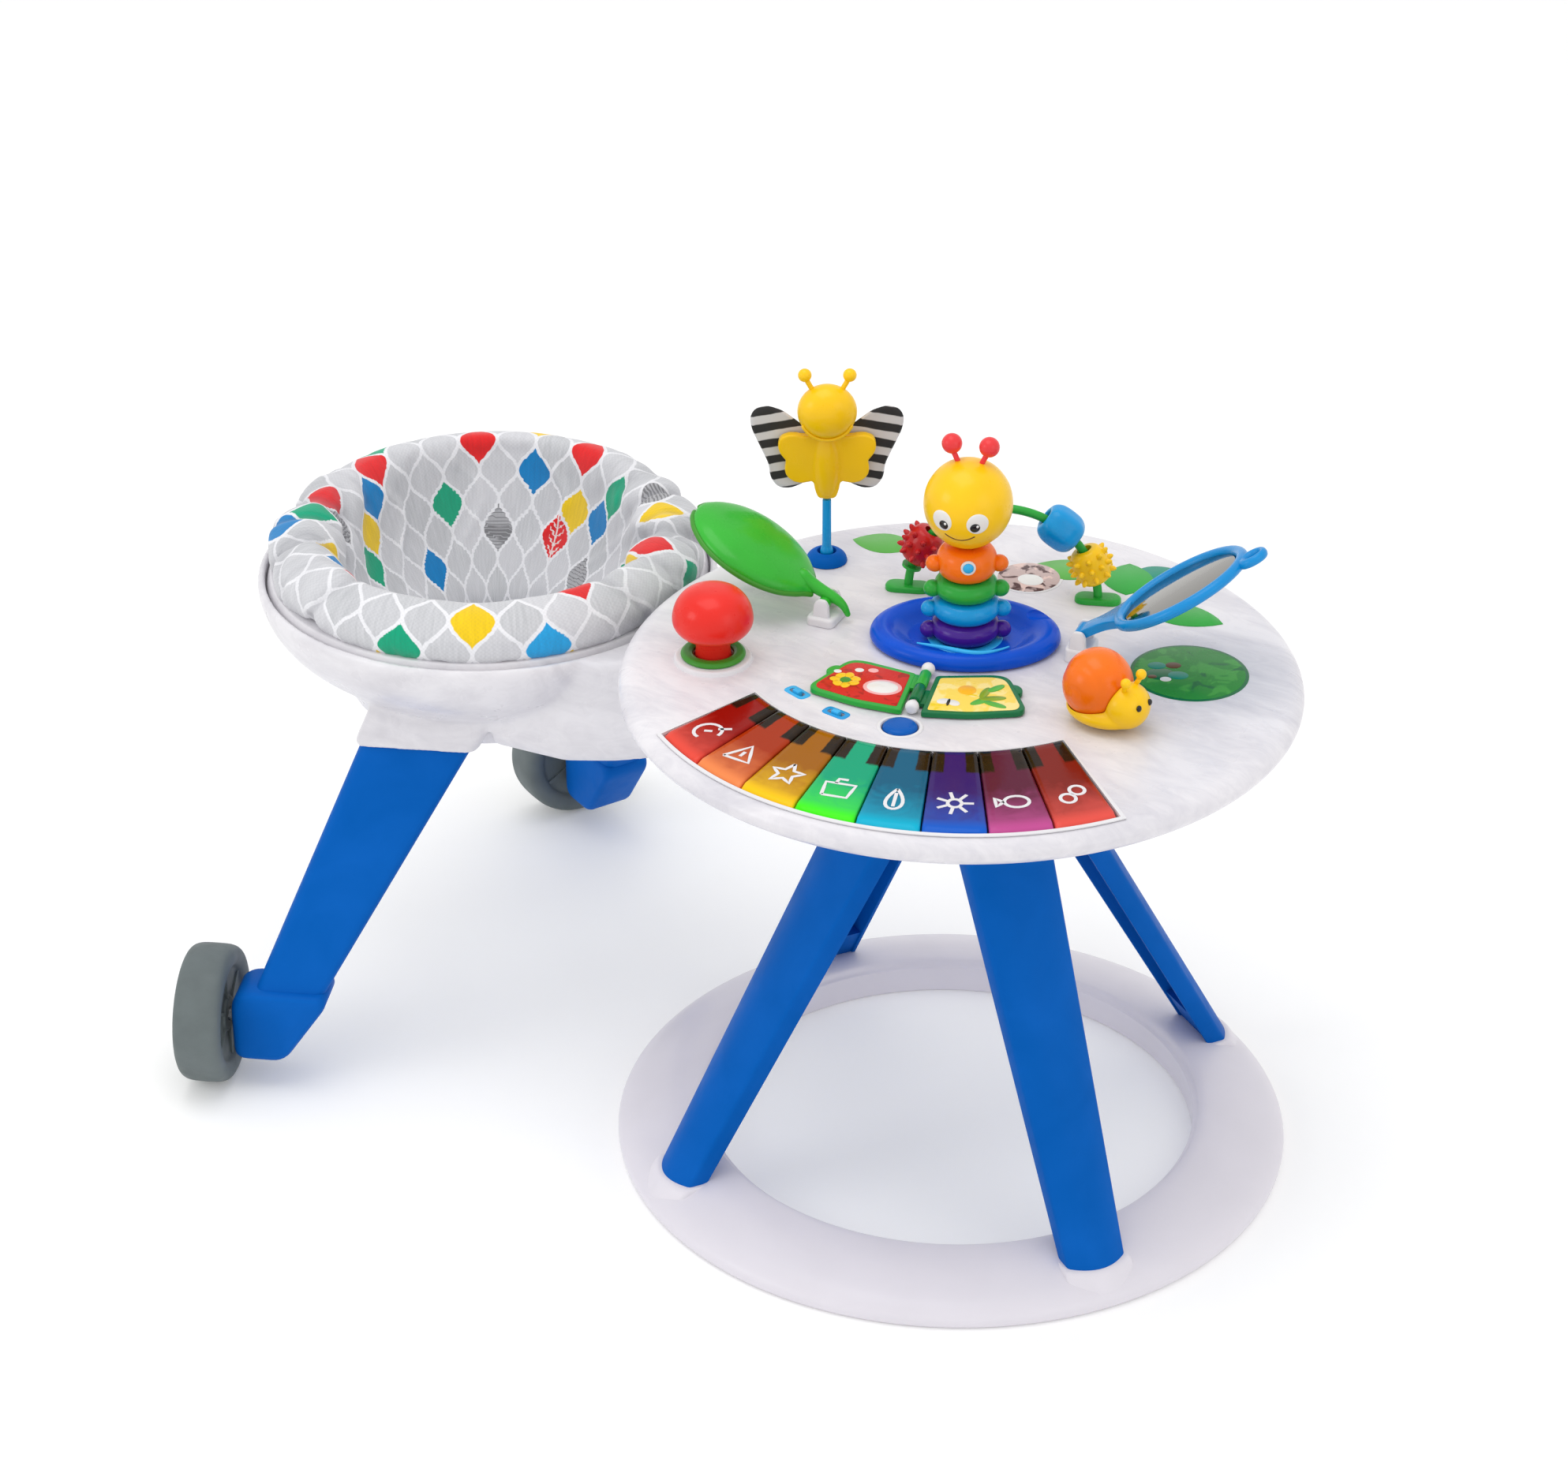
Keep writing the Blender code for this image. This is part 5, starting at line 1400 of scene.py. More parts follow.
# ---------------------------------------------------------------- toys
def stacker():
    low = LID_TOP + GAP
    wide = 0.085 / 0.064
    profile = [
        (0, 0.0), (0.0610, 0.0), (0.0640, 0.0035), (0.0632, 0.0100), (0.0590, 0.0145), (0.0530, 0.0150),
        (0.0470, 0.0115), (0.0425, 0.0068), (0.0375, 0.0036), (0, 0.0034)
    ]
    profile = rounded(profile, [0, 0.002, 0.003, 0.004, 0.005, 0.004, 0.004, 0.003, 0.002, 0], 4)
    points, faces = turned(profile, 128)
    bowl = ([(x * wide, y, z) for x, y, z in points], faces)
    dimple = ball((0.0150, 0.0090, 0.0060), (0.066, 0.026, 0.0150), 32, 16)
    make(
        "dish", [bowl, pin(0.0048, 0.001, 0.1165)], DISH_BLUE, "stand", ["stack_dish"],
        at=place(DISH.x, DISH.y, low, DISH_YAW), cuts=[dimple]
    )
    # Painted highlight: a raised light cyan strip along the dish's front lip, following its wave
    wave = []
    for x, a in zip(sweep(24, 0.080, -0.040), sweep(24)):
        wave.append((x, -0.0505 + 0.0035 * sin(a) + 0.3 * x**2 / 0.04, 0.0153))
    make(
        "dish_lip_highlight", [tube(wave, [0.0008 + 0.0014 * sin(a) for a in sweep(24, pi)], 12)], LIGHT_CYAN, "stand",
        at=place(DISH.x, DISH.y, low, DISH_YAW)
    )

    rings = {
        "purple": (PURPLE, 0.0042, 0.0200, 0.0310),
        "cyan": (CYAN, 0.0247, 0.0200, 0.0305),
        "green": (GREEN, 0.0452, 0.0190, 0.0285),
        "orange": (ORANGE, 0.0647, 0.0290, 0.0270),
    }
    for name, (material, bottom, height, radius) in rings.items():
        half = height / 2
        side = [(radius - 0.0100 + 0.0100 * cos(a), half * sin(a)) for a in sweep(14, pi, -pi / 2)]
        body = [(0.0062, -half)] + side + [(0.0062, half)]
        lobes = []
        for hand in (1, -1):
            lobes.append(ball((0.0082, 0.0080, 0.0076), (hand * (radius + 0.0012), -0.0040, -0.001), 24, 14))
        at = place(DISH.x, DISH.y, low + bottom + half, CAMERA_YAW)
        make(
            f"ring_{name}", [turned(body, 72)] + lobes, material, f"stack_ring_{name}",
            [f"stack_ring_{name}"], at=at, angle=60
        )
        if name == "orange":
            dome = rounded(
                [(0, -0.0040), (0.0030, -0.0034), (0.0048, -0.0016), (0.0048, 0.0010), (0, 0.0010)],
                [0, 0.0018, 0.0014, 0.0003, 0], 4
            )
            dome = moved(along_y(turned(dome, 32)), Matrix.Translation((0, -0.0256, 0.0050)))
            make("neck_button", [dome], LIGHT_CYAN, "stack_ring_orange", at=at)
            trim = rounded([(0.0046, -0.001), (0.0066, -0.001), (0.0066, 0.0014), (0.0046, 0.0014)], 0.0006)
            trim = moved(along_y(turned(trim, 32)), Matrix.Translation((0, -0.0262, 0.0050)))
            make("neck_button_rim", [trim], TRIM_WHITE, "stack_ring_orange", at=at)
    light = rounded(
        [(0.0250, 0.0008), (0.0335, 0.0008), (0.0345, 0.0022), (0.0325, 0.0034), (0.0250, 0.0034)], 0.0008
    )
    make(
        "dish_light_ring", [turned(light, 72)], LIGHT_CYAN, "stand",
        at=place(DISH.x, DISH.y, low + 0.0034 - 0.0026)
    )

    yaw = CAMERA_YAW - 0.25
    at = place(DISH.x, DISH.y, low + 0.1355, yaw)
    skull = [
        (0, 0.0390), (0.0150, 0.0362), (0.0270, 0.0285), (0.0360, 0.0150), (0.0390, 0.0), (0.0372, -0.0130),
        (0.0310, -0.0250)
    ]
    skull = [(p.x, p.y) for p in curve_through([*skull, (0.0215, -0.0345)], 5)] + [
        (0.0120, -0.0400), (0.0066, -0.0402), (0.0066, -0.0160), (0, -0.0160)
    ]
    stalks = [
        tube(
            curve_through(
                [(s * 0.0095, 0.003, 0.034), (s * 0.0125, 0.003, 0.041), (s * 0.0160, 0.004, 0.047)], 4
            ),
            0.0024, 16
        )
        for s in (1, -1)
    ]
    make("grub_head", [turned(skull, 96)], YELLOW, "stack_head", ["stack_head"], at=at, angle=60)
    make("grub_stalks", stalks, CORAL, "stack_head", at=at)
    make(
        "grub_antennae",
        [ball((0.0090, 0.0090, 0.0090), (s * 0.0165, 0.005, 0.0520), 32, 16) for s in (1, -1)], CORAL,
        "stack_head", at=at
    )

    def on_face(azimuth, height, lift=0.0):
        """Point on the head's front, and the way it faces."""
        level = sqrt(max(1 - (height / 0.039) ** 2, 0))
        reach = 0.0386 * level + lift
        return Vector((reach * sin(azimuth), -reach * cos(azimuth), height))

    def disc(azimuth, height, radius, lift, thick):
        spot = on_face(azimuth, height)
        normal = spot.normalized()
        turn = normal.to_track_quat("Z", "Y").to_matrix().to_4x4()
        dome = [(radius * sin(pi / 2 * i / 8), thick * cos(pi / 2 * i / 8)) for i in range(9)]
        profile = dome + [(radius * 0.9, -0.002), (0, -0.002)]
        return moved(turned(profile, 40), Matrix.Translation(spot + normal * lift) @ turn)

    make(
        "head_eyes", [disc(s * 0.42, -0.0030, 0.0098, -0.0006, 0.0018) for s in (1, -1)], EYE_WHITE,
        "stack_head", at=at
    )
    make(
        "head_pupils", [disc(s * 0.36, -0.0060, 0.0044, 0.0010, 0.0012) for s in (1, -1)], BLACK,
        "stack_head", at=at
    )
    make(
        "head_glints", [disc(s * 0.36 + 0.05, -0.0042, 0.0012, 0.0020, 0.0005) for s in (1, -1)], EYE_WHITE,
        "stack_head", at=at
    )
    make(
        "head_cheeks", [disc(s * 0.80, -0.0150, 0.0050, -0.0010, 0.0013) for s in (1, -1)], ORANGE,
        "stack_head", at=at
    )
    smile = [on_face(a, -0.0205 + 0.0045 * (a / 0.36) ** 2, 0.0004) for a in sweep(14, 0.72, -0.36)]
    make("head_smile", [tube(smile, 0.0009, 10)], BROWN, "stack_head", at=at)


def mushroom():
    centre = middle("mushroom_button") - TABLE
    cap = [
        (0.0172, 0.0225), (0.0215, 0.0245), (0.0290, 0.0275), (0.0345, 0.0345), (0.0356, 0.0430),
        (0.0325, 0.0545), (0.0250, 0.0640), (0.0140, 0.0692), (0, 0.0706)
    ]
    stem = [(0, -0.0060), (0.0160, -0.0060), (0.0162, 0.0040), (0.0152, 0.0130)]
    profile = stem[:2] + [(p.x, p.y) for p in curve_through([*stem[2:], *cap], 5)]
    make(
        "mushroom", [turned(profile, 96)], RED, "mushroom", ["mushroom_button"],
        at=place(centre.x, centre.y, LID_TOP), angle=60
    )


def snail():
    at = place(0.150, -0.018, LID_TOP, radians(-8))
    body = [
        ball((0.0350, 0.0290, 0.0125), (0.002, 0, 0.0133), 64, 32),
        ball((0.0195, 0.0215, 0.0205), (0.0250, 0, 0.0240), 48, 24)
    ]
    shell_centre = (-0.0060, 0, 0.0345)
    made = bare("snail_foot", merged(body))
    evened(made, 0.0011, 12)
    boolean(made, [ball((0.0309, 0.0319, 0.0319), shell_centre, 64, 32)])
    made.data.transform(Matrix.Translation(TABLE) @ at)
    smooth(made, 50)
    finish_piece(made, YELLOW, "snail", ["snail_body"])
    stub = rounded(
        [
            (0, -0.0140), (0.0044, -0.0140), (0.0050, -0.0130), (0.0050, 0.0015), (0.0080, 0.0040),
            (0.0080, 0.0060), (0, 0.0060)
        ],
        [0, 0.0005, 0.0005, 0.001, 0.001, 0.0005, 0], 3
    )
    make("snail_pin", [turned(stub, 48)], YELLOW, "snail", at=at)
    feelers = []
    for s in (1, -1):
        feelers.append(
            tube(
                [(0.026, s * 0.008, 0.040), (0.0285, s * 0.0098, 0.0450), (0.0303, s * 0.011, 0.0500)], 0.0022
            )
        )
        feelers.append(ball((0.0046, 0.0046, 0.0046), (0.0303, s * 0.011, 0.0512), 24, 14))
    make("snail_feelers", feelers, YELLOW, "snail", at=at)
    shell = ball((0.0300, 0.0310, 0.0310), shell_centre, 96, 48)
    points = []
    for x, y, z in shell[0]:
        # A shallow spiral groove on each side of the shell
        dx, dz = x - shell_centre[0], z - shell_centre[2]
        r, a = sqrt(dx * dx + dz * dz), atan2(dz, dx)
        groove = 0.5 + 0.5 * cos(a - r * 330)
        pull = 1 - 0.022 * groove**6 * min(1, abs(y) / 0.012)
        points.append((shell_centre[0] + dx * pull, y * pull, shell_centre[2] + dz * pull))
    make("snail_house", [(points, shell[1])], ORANGE, "snail", ["snail_shell"], at=at, angle=80)
    make(
        "snail_eyes", [ball((0.0022, 0.0026, 0.0030), (0.0425, s * 0.0075, 0.0300), 20, 12) for s in (1, -1)],
        BLACK, "snail", at=at
    )


def mirror():
    hinge = place(*MIRROR_HINGE, MIRROR_YAW, radians(33.6))
    centre = 0.104
    outer = ellipse(0.0660, 0.0600, 96)
    inner = ellipse(0.0555, 0.0495, 96)
    rows = []
    for t in sweep(20):
        height = 0.0006 + 0.0052 * sin(t) * (1 if sin(t) > 0 else 0.9)
        share = 0.5 + 0.5 * cos(t)
        rows.append(
            [
                (centre + a[0] * share + b[0] * (1 - share), a[1] * share + b[1] * (1 - share), height)
                for a, b in zip(outer, inner)
            ]
        )
    rim = loft(rows, closed=False)
    back = pillow([(centre + x * 0.90, y * 0.90) for x, y in outer], -0.0040, -0.0016, 0.001)
    neck = rounded(
        [
            (0.002, -0.0095), (0.026, -0.0100), (0.050, -0.0260), (0.050, 0.0260), (0.026, 0.0100),
            (0.002, 0.0095)
        ],
        [0.002, 0.014, 0.002, 0.002, 0.014, 0.002], 6
    )
    neck = pillow(neck, -0.0036, 0.0042, 0.0015, 4)
    tab_rows = []
    for t in sweep(16):
        share = 0.5 + 0.5 * cos(t)
        big, small = ellipse(0.0150, 0.0135, 48, (0.1762, 0)), ellipse(0.0068, 0.0058, 48, (0.1785, 0))
        tab_rows.append(
            [
                (
                    a[0] * share + b[0] * (1 - share), a[1] * share + b[1] * (1 - share),
                    0.0003 + 0.0042 * sin(t)
                )
                for a, b in zip(big, small)
            ]
        )
    tab = loft(tab_rows, closed=False)
    barrel = along_y(
        turned(
            rounded(
                [(0, -0.0098), (0.0056, -0.0098), (0.0056, 0.0098), (0, 0.0098)], [0, 0.001, 0.001, 0], 3
            ),
            32
        )
    )
    pivot = along_y(pin(0.0030, -0.0148, 0.0148, 24))
    make(
        "mirror_rim", [rim, back, neck, tab, barrel, pivot], FRAME_CYAN, "mirror", ["mirror_frame"],
        at=hinge, angle=60
    )
    make(
        "mirror_face", [pillow([(centre + x * 0.985, y * 0.985) for x, y in inner], -0.0014, 0.0018, 0.0004)],
        MIRROR, "mirror", ["mirror_glass"], at=hinge
    )


def leaf():
    hinge = place(*LEAF_HINGE, LEAF_YAW, radians(27))
    stations = [
        (0.0145, 0.0062, 0.0035), (0.020, 0.0125, 0.0055), (0.026, 0.0215, 0.0085), (0.040, 0.0355, 0.0120),
        (0.062, 0.0455, 0.0150)
    ]
    stations += [
        (0.088, 0.0478, 0.0160), (0.112, 0.0415, 0.0140), (0.130, 0.0285, 0.0100), (0.1395, 0.0155, 0.0060),
        (0.1425, 0.0060, 0.0035)
    ]
    dense_stations = curve_through(stations, 5)

    def sheet(scale, thick):
        sections = []
        for p in dense_stations:
            half, bulge = max(p.y * scale, 0.002), p.z
            top = [(p.x, half * cos(a), bulge * sin(a) ** 0.9) for a in sweep(24, pi)]
            under = [
                (p.x, half * 0.975 * cos(a), bulge * sin(a) ** 0.9 - thick) for a in reversed(sweep(24, pi))
            ]
            sections.append(top + under)
        return loft(sections)

    make("leaf", [sheet(LEAF_SCALE, 0.0042)], LEAF_GREEN, "leaf", ["leaf_flap"], at=hinge, angle=60)
    rim = []
    for hand in (1, -1):
        rim.append(
            tube([(p.x, hand * max(p.y * LEAF_SCALE, 0.003), -0.0012) for p in dense_stations], 0.0026, 14)
        )
    make("leaf_rim", rim, RIM_GREEN, "leaf", at=hinge)
    curl = curve_through(
        [
            (0.030, 0, 0.006), (0.020, 0, 0.0045), (0.008, 0, 0.0050), (-0.006, 0, 0.0062),
            (-0.015, 0, 0.0048), (-0.0225, 0, 0.0)
        ],
        5
    )
    radii = [0.0072 - 0.0046 * (i / (len(curl) - 1)) ** 1.3 for i in range(len(curl))]
    make(
        "leaf_stalk",
        [tube(curl, radii, 20), along_y(pin(0.0056, -0.0098, 0.0098)), along_y(pin(0.0030, -0.0148, 0.0148))],
        LEAF_GREEN, "leaf", at=hinge, angle=60
    )


def brackets():
    sides = (
        ("mirror_bracket", MIRROR_HINGE, MIRROR_YAW, (0.0120, 0.0165)),
        ("leaf_bracket", LEAF_HINGE, LEAF_YAW, (0.0130, 0.0190)),
    )
    for name, hinge, yaw, half in sides:
        low = LID_TOP + GAP - hinge[2]
        base = rounded(rectangle(*half), 0.006, 6)
        shapes = [pillow(base, low, -0.0105, 0.003, 5)]
        ear = rounded(
            [
                (-0.0085, low + 0.001), (0.0085, low + 0.001), (0.0068, 0.0010), (0.0038, 0.0058),
                (-0.0038, 0.0058), (-0.0068, 0.0010)
            ],
            0.0025, 5
        )
        for s in (1, -1):
            rows = []
            for y, inset in ((0.0105, 0.06), (0.0110, 0.0), (0.0143, 0.0), (0.0150, 0.08)):
                rows.append([(x * (1 - inset), s * y, z - (z - low) * inset * 0.5) for x, z in ear])
            shapes.append(loft(rows))
        make(
            f"{name}_cover", shapes, TRIM_WHITE, "stand", [name],
            at=Matrix.Translation(hinge) @ Matrix.Rotation(yaw, 4, "Z"), angle=45
        )


def butterfly():
    centre = middle("butterfly_socket") - TABLE
    base = rounded(
        [
            (0.0088, 0.0032), (0.0088, 0.0105), (0.0130, 0.0098), (0.0180, 0.0055), (0.0192, 0.0), (0, 0.0),
            (0, 0.0032)
        ],
        [0.0005, 0.0008, 0.004, 0.004, 0.001, 0, 0], 4
    )
    make(
        "stem_base", [turned(base, 72)], BLUE, "stand", ["butterfly_socket"],
        at=place(centre.x, centre.y, LID_TOP + GAP)
    )
    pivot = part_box("butterfly_stem")[0].z + 0.0045
    bar = [
        (0, -0.0045), (0.0045, -0.0035), (0.0062, 0.0), (0.0058, 0.0035), (0.0042, 0.0070), (0.0040, 0.0540),
        (0, 0.0545)
    ]
    bar = rounded(bar, [0, 0.002, 0.002, 0.002, 0.002, 0.0006, 0], 4)
    make(
        "stem", [turned(bar, 40)], CYAN, "butterfly_stem", ["butterfly_stem"],
        at=place(centre.x, centre.y, pivot)
    )
    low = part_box("butterfly_body")[0].z
    at = place(centre.x, centre.y, low, CAMERA_YAW)
    # Small moulded wings and trunk
    side = [
        (0.0, 0.0010), (0.0080, 0.0015), (0.0110, 0.0100), (0.0125, 0.0200), (0.0180, 0.0175),
        (0.0290, 0.0175), (0.0370, 0.0240)
    ]
    side += [
        (0.0390, 0.0320), (0.0365, 0.0400), (0.0420, 0.0450), (0.0450, 0.0530), (0.0430, 0.0620),
        (0.0340, 0.0660), (0.0200, 0.0640), (0.0, 0.0640)
    ]
    outline = side + [(-x, z) for x, z in reversed(side[1:-1])]
    outline = rounded(outline, 0.004, 3)
    made = bare(
        "butterfly_trunk",
        merged(
            [
                loft([[(x, y, z) for x, z in outline] for y in (-0.0045, 0.0045)]),
                ball((0.0115, 0.0100, 0.0340), (0, -0.001, 0.0340), 40, 24)
            ]
        )
    )
    evened(made, 0.0011, 10)
    made.data.transform(Matrix.Translation(TABLE) @ at)
    made.data.shade_smooth()
    finish_piece(made, YELLOW, "butterfly", ["butterfly_body"])
    ring = [
        (0.0245 * sin(a), -0.0105 - 0.002 * cos(a), 0.0880 - 0.0238 * cos(a)) for a in sweep(20, 2.2, -1.1)
    ]
    make(
        "butterfly_face",
        [ball((0.0270, 0.0200, 0.0258), (0, -0.0020, 0.0880), 72, 40), tube(ring, 0.0016, 10)], YELLOW,
        "butterfly", at=at, angle=80
    )
    feelers = []
    for s in (1, -1):
        feelers.append(
            tube(
                curve_through([(s * 0.0130, 0, 0.108), (s * 0.0170, 0, 0.1150), (s * 0.0200, 0, 0.1215)], 4),
                0.0024
            )
        )
        feelers.append(ball((0.0062, 0.0060, 0.0062), (s * 0.0202, 0, 0.1226), 28, 16))
    make("butterfly_feelers", feelers, YELLOW, "butterfly", at=at)
    wing = [
        (0.004, 0.0300), (0.0200, 0.0130), (0.0330, 0.0070), (0.0445, 0.0080), (0.0515, 0.0180),
        (0.0530, 0.0320), (0.0600, 0.0480), (0.0680, 0.0660), (0.0700, 0.0780), (0.0655, 0.0870),
        (0.0540, 0.0900), (0.0400, 0.0850), (0.0200, 0.0690), (0.004, 0.0560)
    ]
    shapes = []
    for s in (1, -1):
        edge = rounded([(s * x, z) for x, z in wing], 0.005, 3)
        hub = (s * 0.036, 0.050)
        rows = []
        for y, share in (
            (0.0062, 0.86), (0.0056, 0.94), (0.0072, 1.0), (0.0090, 0.94), (0.0098, 0.86), (0.0106, 0.5)
        ):
            rows.append([(hub[0] + (x - hub[0]) * share, y, hub[1] + (z - hub[1]) * share) for x, z in edge])
        shapes.append(loft(rows))
    make(
        "butterfly_cloth", shapes, striped_cloth("wing_stripes", (TABLE.x + centre.x, centre.y, low)),
        "butterfly", ["butterfly_wings"], at=at, angle=60
    )


def spiky(radius, reach, bore, count, height):
    """Bead along Z with blunt bumps round it."""
    body = [(bore, -reach)] + [
        (bore + 0.003 + (radius - bore - 0.003) * cos(a), reach * sin(a))
        for a in (-pi / 2 + pi * i / 16 for i in range(1, 16))
    ] + [(bore, reach)]
    shapes = [turned(body, 56)]
    for row, (share, number) in enumerate(((-0.55, count - 2), (0.0, count), (0.55, count - 2))):
        for i in range(number):
            a = 2 * pi * (i + 0.5 * (row % 2)) / number
            r = bore + 0.003 + (radius - bore - 0.003) * sqrt(1 - share**2)
            base = Vector((r * cos(a), r * sin(a), reach * share))
            normal = Vector((cos(a), sin(a), share * 0.9)).normalized()
            turn = normal.to_track_quat("Z", "Y").to_matrix().to_4x4()
            spike = [(0.0030, -0.0015), (0.0024, height * 0.45), (0.0013, height * 0.85), (0, height)]
            shapes.append(moved(turned([(0, -0.0015)] + spike, 10), Matrix.Translation(base) @ turn))
    return merged(shapes)


def bead_rail():
    at = place(-0.0363, 0.1386, LID_TOP + GAP, radians(24))
    radius = 0.086
    arc = [(radius * cos(a), 0, 0.001 + radius * sin(a)) for a in sweep(64, pi)]
    shapes = [tube(arc, 0.0040, 20)]
    for side in (1, -1):
        foot = [
            (side * radius + 0.021 * cos(a), 0.0125 * sin(a) * (1 + 0.25 * cos(2 * a)))
            for a in (2 * pi * i / 40 for i in range(40))
        ]
        shapes.append(pillow(foot, 0.0, 0.0052, 0.0028, 5))
    stop = radians(149 + 15.5)
    shapes.append(
        moved(
            pin(0.0090, -0.001, 0.0016),
            Matrix.Translation(
                (radius * cos(stop), 0, 0.001 + radius * sin(stop))
            ) @ Matrix.Rotation(-stop, 4, "Y")
        )
    )
    make("rail", shapes, GREEN, "stand", ["vine_rail"], at=at, angle=60)
    beads = {
        "bead_red": (149, BEAD_RED, "red"), "bead_blue": (54, CYAN, "cyan"),
        "bead_yellow": (24, YELLOW, "yellow")
    }
    for name, (angle, material, slot) in beads.items():
        a = radians(angle)
        spot = at @ Matrix.Translation(
            (radius * cos(a), 0, 0.001 + radius * sin(a))
        ) @ Matrix.Rotation(-a, 4, "Y")
        if name == "bead_blue":
            body = rounded(
                [
                    (0.0070, -0.0180), (0.0130, -0.0180), (0.0180, -0.0110), (0.0188, 0.0), (0.0180, 0.0110),
                    (0.0130, 0.0180), (0.0070, 0.0180)
                ],
                0.005, 5
            )
            made = turned(body, 64)
            points = []
            for x, y, z in made[0]:
                flute = 1 - 0.03 * cos(6 * atan2(y, x))
                points.append((x * flute, y * flute, z))
            made = (points, made[1])
        else:
            made = spiky(0.0170, 0.0165, 0.0070, 11, 0.0050)
        make(name.replace("bead_", "") + "_bead", [made], material, name, [name], at=spot, angle=50)


def book():
    at = place(-0.0045, -0.0615, 0.4922, radians(19))
    rod = rounded(
        [
            (0, -0.0400), (0.0045, -0.0395), (0.0066, -0.0345), (0.0045, -0.0290), (0.0020, -0.0275),
            (0.0020, 0.0275), (0.0045, 0.0290), (0.0066, 0.0345), (0.0045, 0.0395), (0, 0.0400)
        ],
        [0, 0.003, 0.004, 0.003, 0.0005, 0.0005, 0.003, 0.004, 0.003, 0], 5
    )
    make("book_pin", [along_y(turned(rod, 48))], TRIM_WHITE, "stand", ["book_hinge_rod"], at=at)
    page = [
        (0.0085, -0.0405), (0.0500, -0.0350), (0.0925, -0.0205), (0.0945, -0.0120), (0.0720, 0.0370),
        (0.0600, 0.0405), (0.0085, 0.0265)
    ]
    leaves = [("left", -1, GREEN, PAGE_RED, -0.0005), ("right", 1, DARK_GREEN, PAGE_YELLOW, -0.0260)]
    for name, side, frame_colour, ground, low in leaves:
        body = f"book_{name}"
        outline = rounded(
            [(side * x, y) for x, y in page], [0.003, 0.01, 0.006, 0.004, 0.010, 0.010, 0.003], 5
        )
        inset = [(side * 0.050 + (x - side * 0.050) * 0.885, (y + 0.004) * 0.86 - 0.004) for x, y in outline]
        strap = pillow(
            rounded(
                [
                    (0, low + 0.001), (side * 0.014, low + 0.001), (side * 0.014, low + 0.0255),
                    (0, low + 0.0255)
                ],
                0.001
            ),
            -0.0046, -0.0010, 0.0006
        )
        barrel = along_y(
            turned(
                [
                    (0.0027, low + 0.0010), (0.0048, low + 0.0010), (0.0052, low + 0.0020),
                    (0.0052, low + 0.0245), (0.0048, low + 0.0255), (0.0027, low + 0.0255)
                ],
                40
            )
        )
        tab = pillow(
            ellipse(0.0085, 0.0060, 24, (side * 0.0800, 0.0185), -side * 1.1), -0.0053, -0.0012, 0.001
        )
        make(
            f"book_cover_{name}", [pillow(outline, -0.0055, -0.0008, 0.0016, 5), strap, barrel, tab],
            frame_colour, body, [f"book_leaf_{name}"], at=at, angle=50
        )
        make(f"book_page_{name}", [pillow(inset, -0.0030, -0.0004, 0.0003)], ground, body, at=at)
        top = -0.0004

        def spot(tag, x, y, rx, ry, material, lift=0.0, yaw=0.0):
            make(
                f"page_{name}_{tag}",
                [
                    pillow(
                        ellipse(rx, ry, 36, (side * x, y), yaw), top - 0.0002, top + 0.0003 + lift, 0.0002, 2
                    )
                ],
                material, body, at=at
            )

        if side < 0:
            for i in range(7):
                a = 2 * pi * i / 7
                spot(
                    f"petal_{i + 1}", 0.066 + 0.0088 * cos(a), 0.000 + 0.0088 * sin(a), 0.0052, 0.0040,
                    YELLOW, 0.0001, a
                )
            spot("flower_eye", 0.066, 0.000, 0.0048, 0.0048, RIM_GREEN, 0.0003)
            spot("balloon_rim", 0.032, -0.006, 0.0170, 0.0135, PINK, 0.0)
            spot("balloon", 0.032, -0.006, 0.0138, 0.0105, EYE_WHITE, 0.0002)
            spot("seed_1", 0.076, 0.014, 0.0035, 0.0030, EYE_WHITE)
            spot("seed_2", 0.058, 0.020, 0.0040, 0.0034, EYE_WHITE)
            spot("seed_3", 0.046, 0.022, 0.0046, 0.0036, PINK)
        else:
            spot("moth_wing_1", 0.024, -0.018, 0.0060, 0.0044, EYE_WHITE, 0.0001, 0.5)
            spot("moth_wing_2", 0.033, -0.019, 0.0060, 0.0044, EYE_WHITE, 0.0001, -0.5)
            spot("moth", 0.0285, -0.019, 0.0014, 0.0060, BLACK, 0.0003)
            blades = [(0.056, -0.010, 0.0120, 0.0042, 0.8), (0.064, -0.004, 0.0120, 0.0040, 0.3)]
            blades += [(0.068, -0.014, 0.0110, 0.0036, -0.3), (0.056, 0.004, 0.0100, 0.0036, 1.4)]
            blades += [(0.064, 0.014, 0.0090, 0.0036, 0.9)]
            for i, (x, y, rx, ry, yaw) in enumerate(blades):
                spot(f"blade_{i + 1}", x, y, rx, ry, OLIVE if i % 2 else PALE_GREEN, 0.0001 * i, yaw)
            spot("sun", 0.040, 0.006, 0.0080, 0.0080, AMBER)


PALE_POND = picture(
    "pond_print", (0.03, 0.27, 0.045), [((0.06, 0.36, 0.06), 0.55), ((0.015, 0.17, 0.05), 0.62)], 45
)
PICTURE = picture(
    "flower_print", (0.55, 0.42, 0.40), [((0.10, 0.05, 0.05), 0.52), ((0.75, 0.55, 0.50), 0.58)], 60
)
PAGE_RED = picture("page_red", (0.60, 0.02, 0.012), [((0.40, 0.015, 0.008), 0.55)], 70)
PAGE_YELLOW = picture(
    "page_yellow", (0.90, 0.66, 0.12), [((0.92, 0.74, 0.28), 0.5), ((0.80, 0.58, 0.02), 0.62)], 50
)
PINK = plastic("print_pink", (0.85, 0.42, 0.42), 0.3, 0.3)
OLIVE = plastic("print_olive", (0.22, 0.34, 0.02), 0.3, 0.3)
AMBER = plastic("print_amber", (0.90, 0.45, 0.02), 0.3, 0.3)
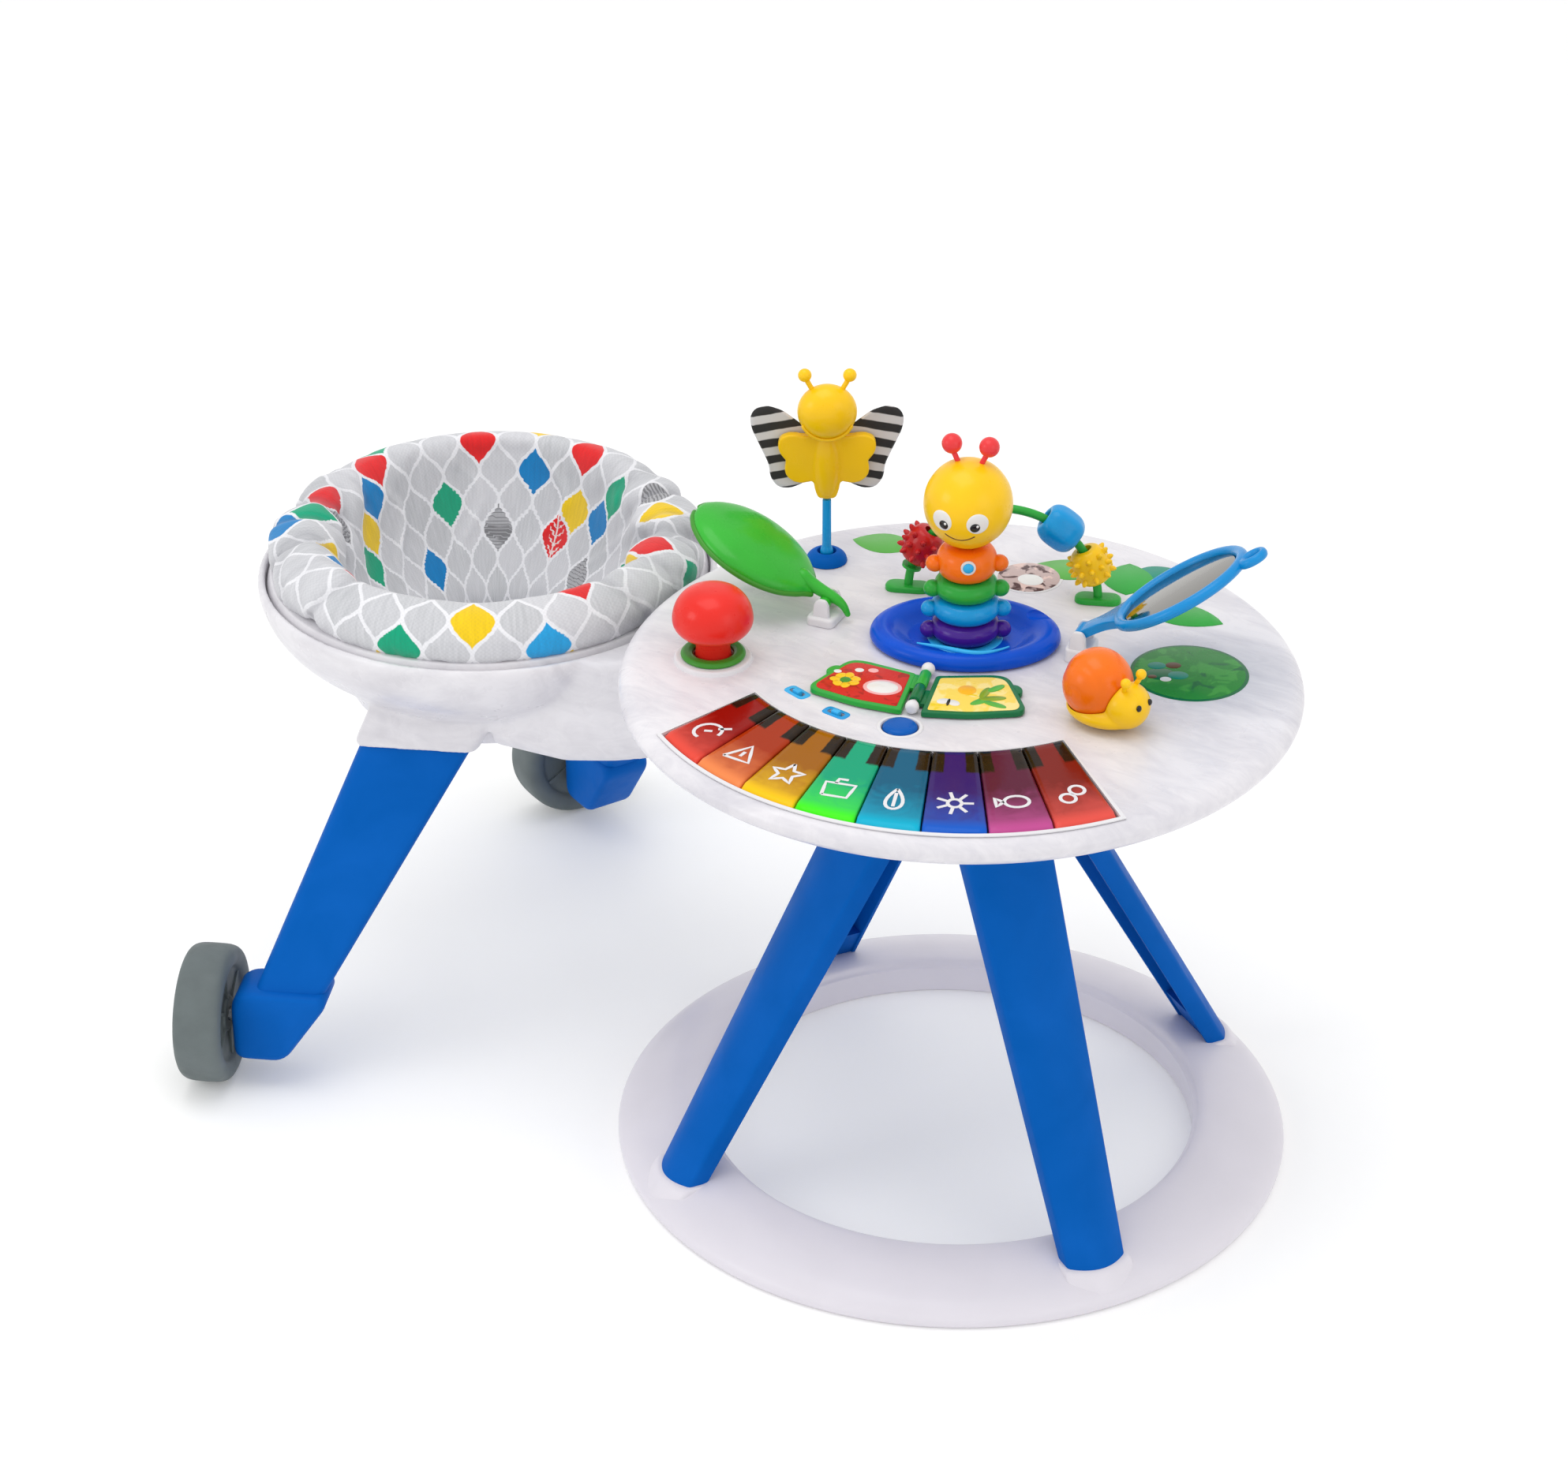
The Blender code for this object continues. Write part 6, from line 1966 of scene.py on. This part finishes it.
MIRROR = metal("mirror_silver", (0.30, 0.29, 0.27), 0.05)


# ---------------------------------------------------------------- CAD nodes that stay visible
def keep_nodes():
    finishes = {
        "hub_spindle": WHITE, "tabletop_tray": WHITE, "battery_door": TRIM_WHITE, "battery_box": DARK,
        "speaker": DARK
    }
    for name, material in finishes.items():
        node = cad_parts[name]
        node.data.materials.clear()
        node.data.materials.append(material)


# ---------------------------------------------------------------- floor, light and camera
def studio():
    scene = bpy.context.scene
    floor = bare("floor", ([(x, y, -0.0005) for x, y in circle(45, 64)], [tuple(range(64))]))
    n = Nodes("floor_pale")
    n.set(
        Base_Color=n.mix(n.noise(3, 2), (0.925, 0.925, 0.92), (0.94, 0.94, 0.935)), Roughness=0.7,
        Specular_IOR_Level=0.1, Emission_Color=(1, 1, 1, 1), Emission_Strength=0.11
    )
    floor.data.materials.append(n.material)
    world = bpy.data.worlds.new("studio")
    world.use_nodes = True
    world.node_tree.nodes["Background"].inputs[0].default_value = (1.0, 1.0, 1.0, 1)
    world.node_tree.nodes["Background"].inputs[1].default_value = 0.92
    scene.world = world

    def area(name, at, aim, size, power):
        lamp = bpy.data.lights.new(name, "AREA")
        lamp.shape = "RECTANGLE"
        lamp.size, lamp.size_y = size
        lamp.energy = power
        made = bpy.data.objects.new(name, lamp)
        scene.collection.objects.link(made)
        made.location = at
        made.rotation_euler = (Vector(aim) - Vector(at)).to_track_quat("-Z", "Y").to_euler()

    area("overhead", (-0.2, -0.3, 2.8), (0, 0, 0.3), (1.8, 1.5), 15)
    area("front_left", (-1.6, -2.4, 1.7), (0, 0, 0.35), (1.2, 1.0), 10)
    area("right_fill", (2.4, -0.6, 1.4), (0.1, 0, 0.4), (1.2, 1.4), 4)

    camera = bpy.data.cameras.new("camera")
    camera.lens = 89.1
    camera.sensor_width = 36
    camera.clip_end = 40
    made = bpy.data.objects.new("camera", camera)
    scene.collection.objects.link(made)
    yaw, pitch, roll = radians(32.47), radians(29.63), radians(-0.15)
    right = Vector((cos(yaw), sin(yaw), 0))
    forward = Vector((-sin(yaw) * cos(pitch), cos(yaw) * cos(pitch), -sin(pitch)))
    up = right.cross(forward)
    turn = Matrix((right, up, -forward)).transposed() @ Matrix.Rotation(roll, 3, "Z")
    made.matrix_world = Matrix.Translation(TABLE + Vector((1.469, -2.596, 2.107))) @ turn.to_4x4()
    scene.camera = made
    scene.view_settings.view_transform = "Standard"
    scene.view_settings.look = "None"


studio()
keep_nodes()
stand()
tabletop()
keyboard()
controls()
seat_shell()
seat_legs()
seat_pad()
stacker()
mushroom()
snail()
mirror()
leaf()
brackets()
butterfly()
bead_rail()
book()
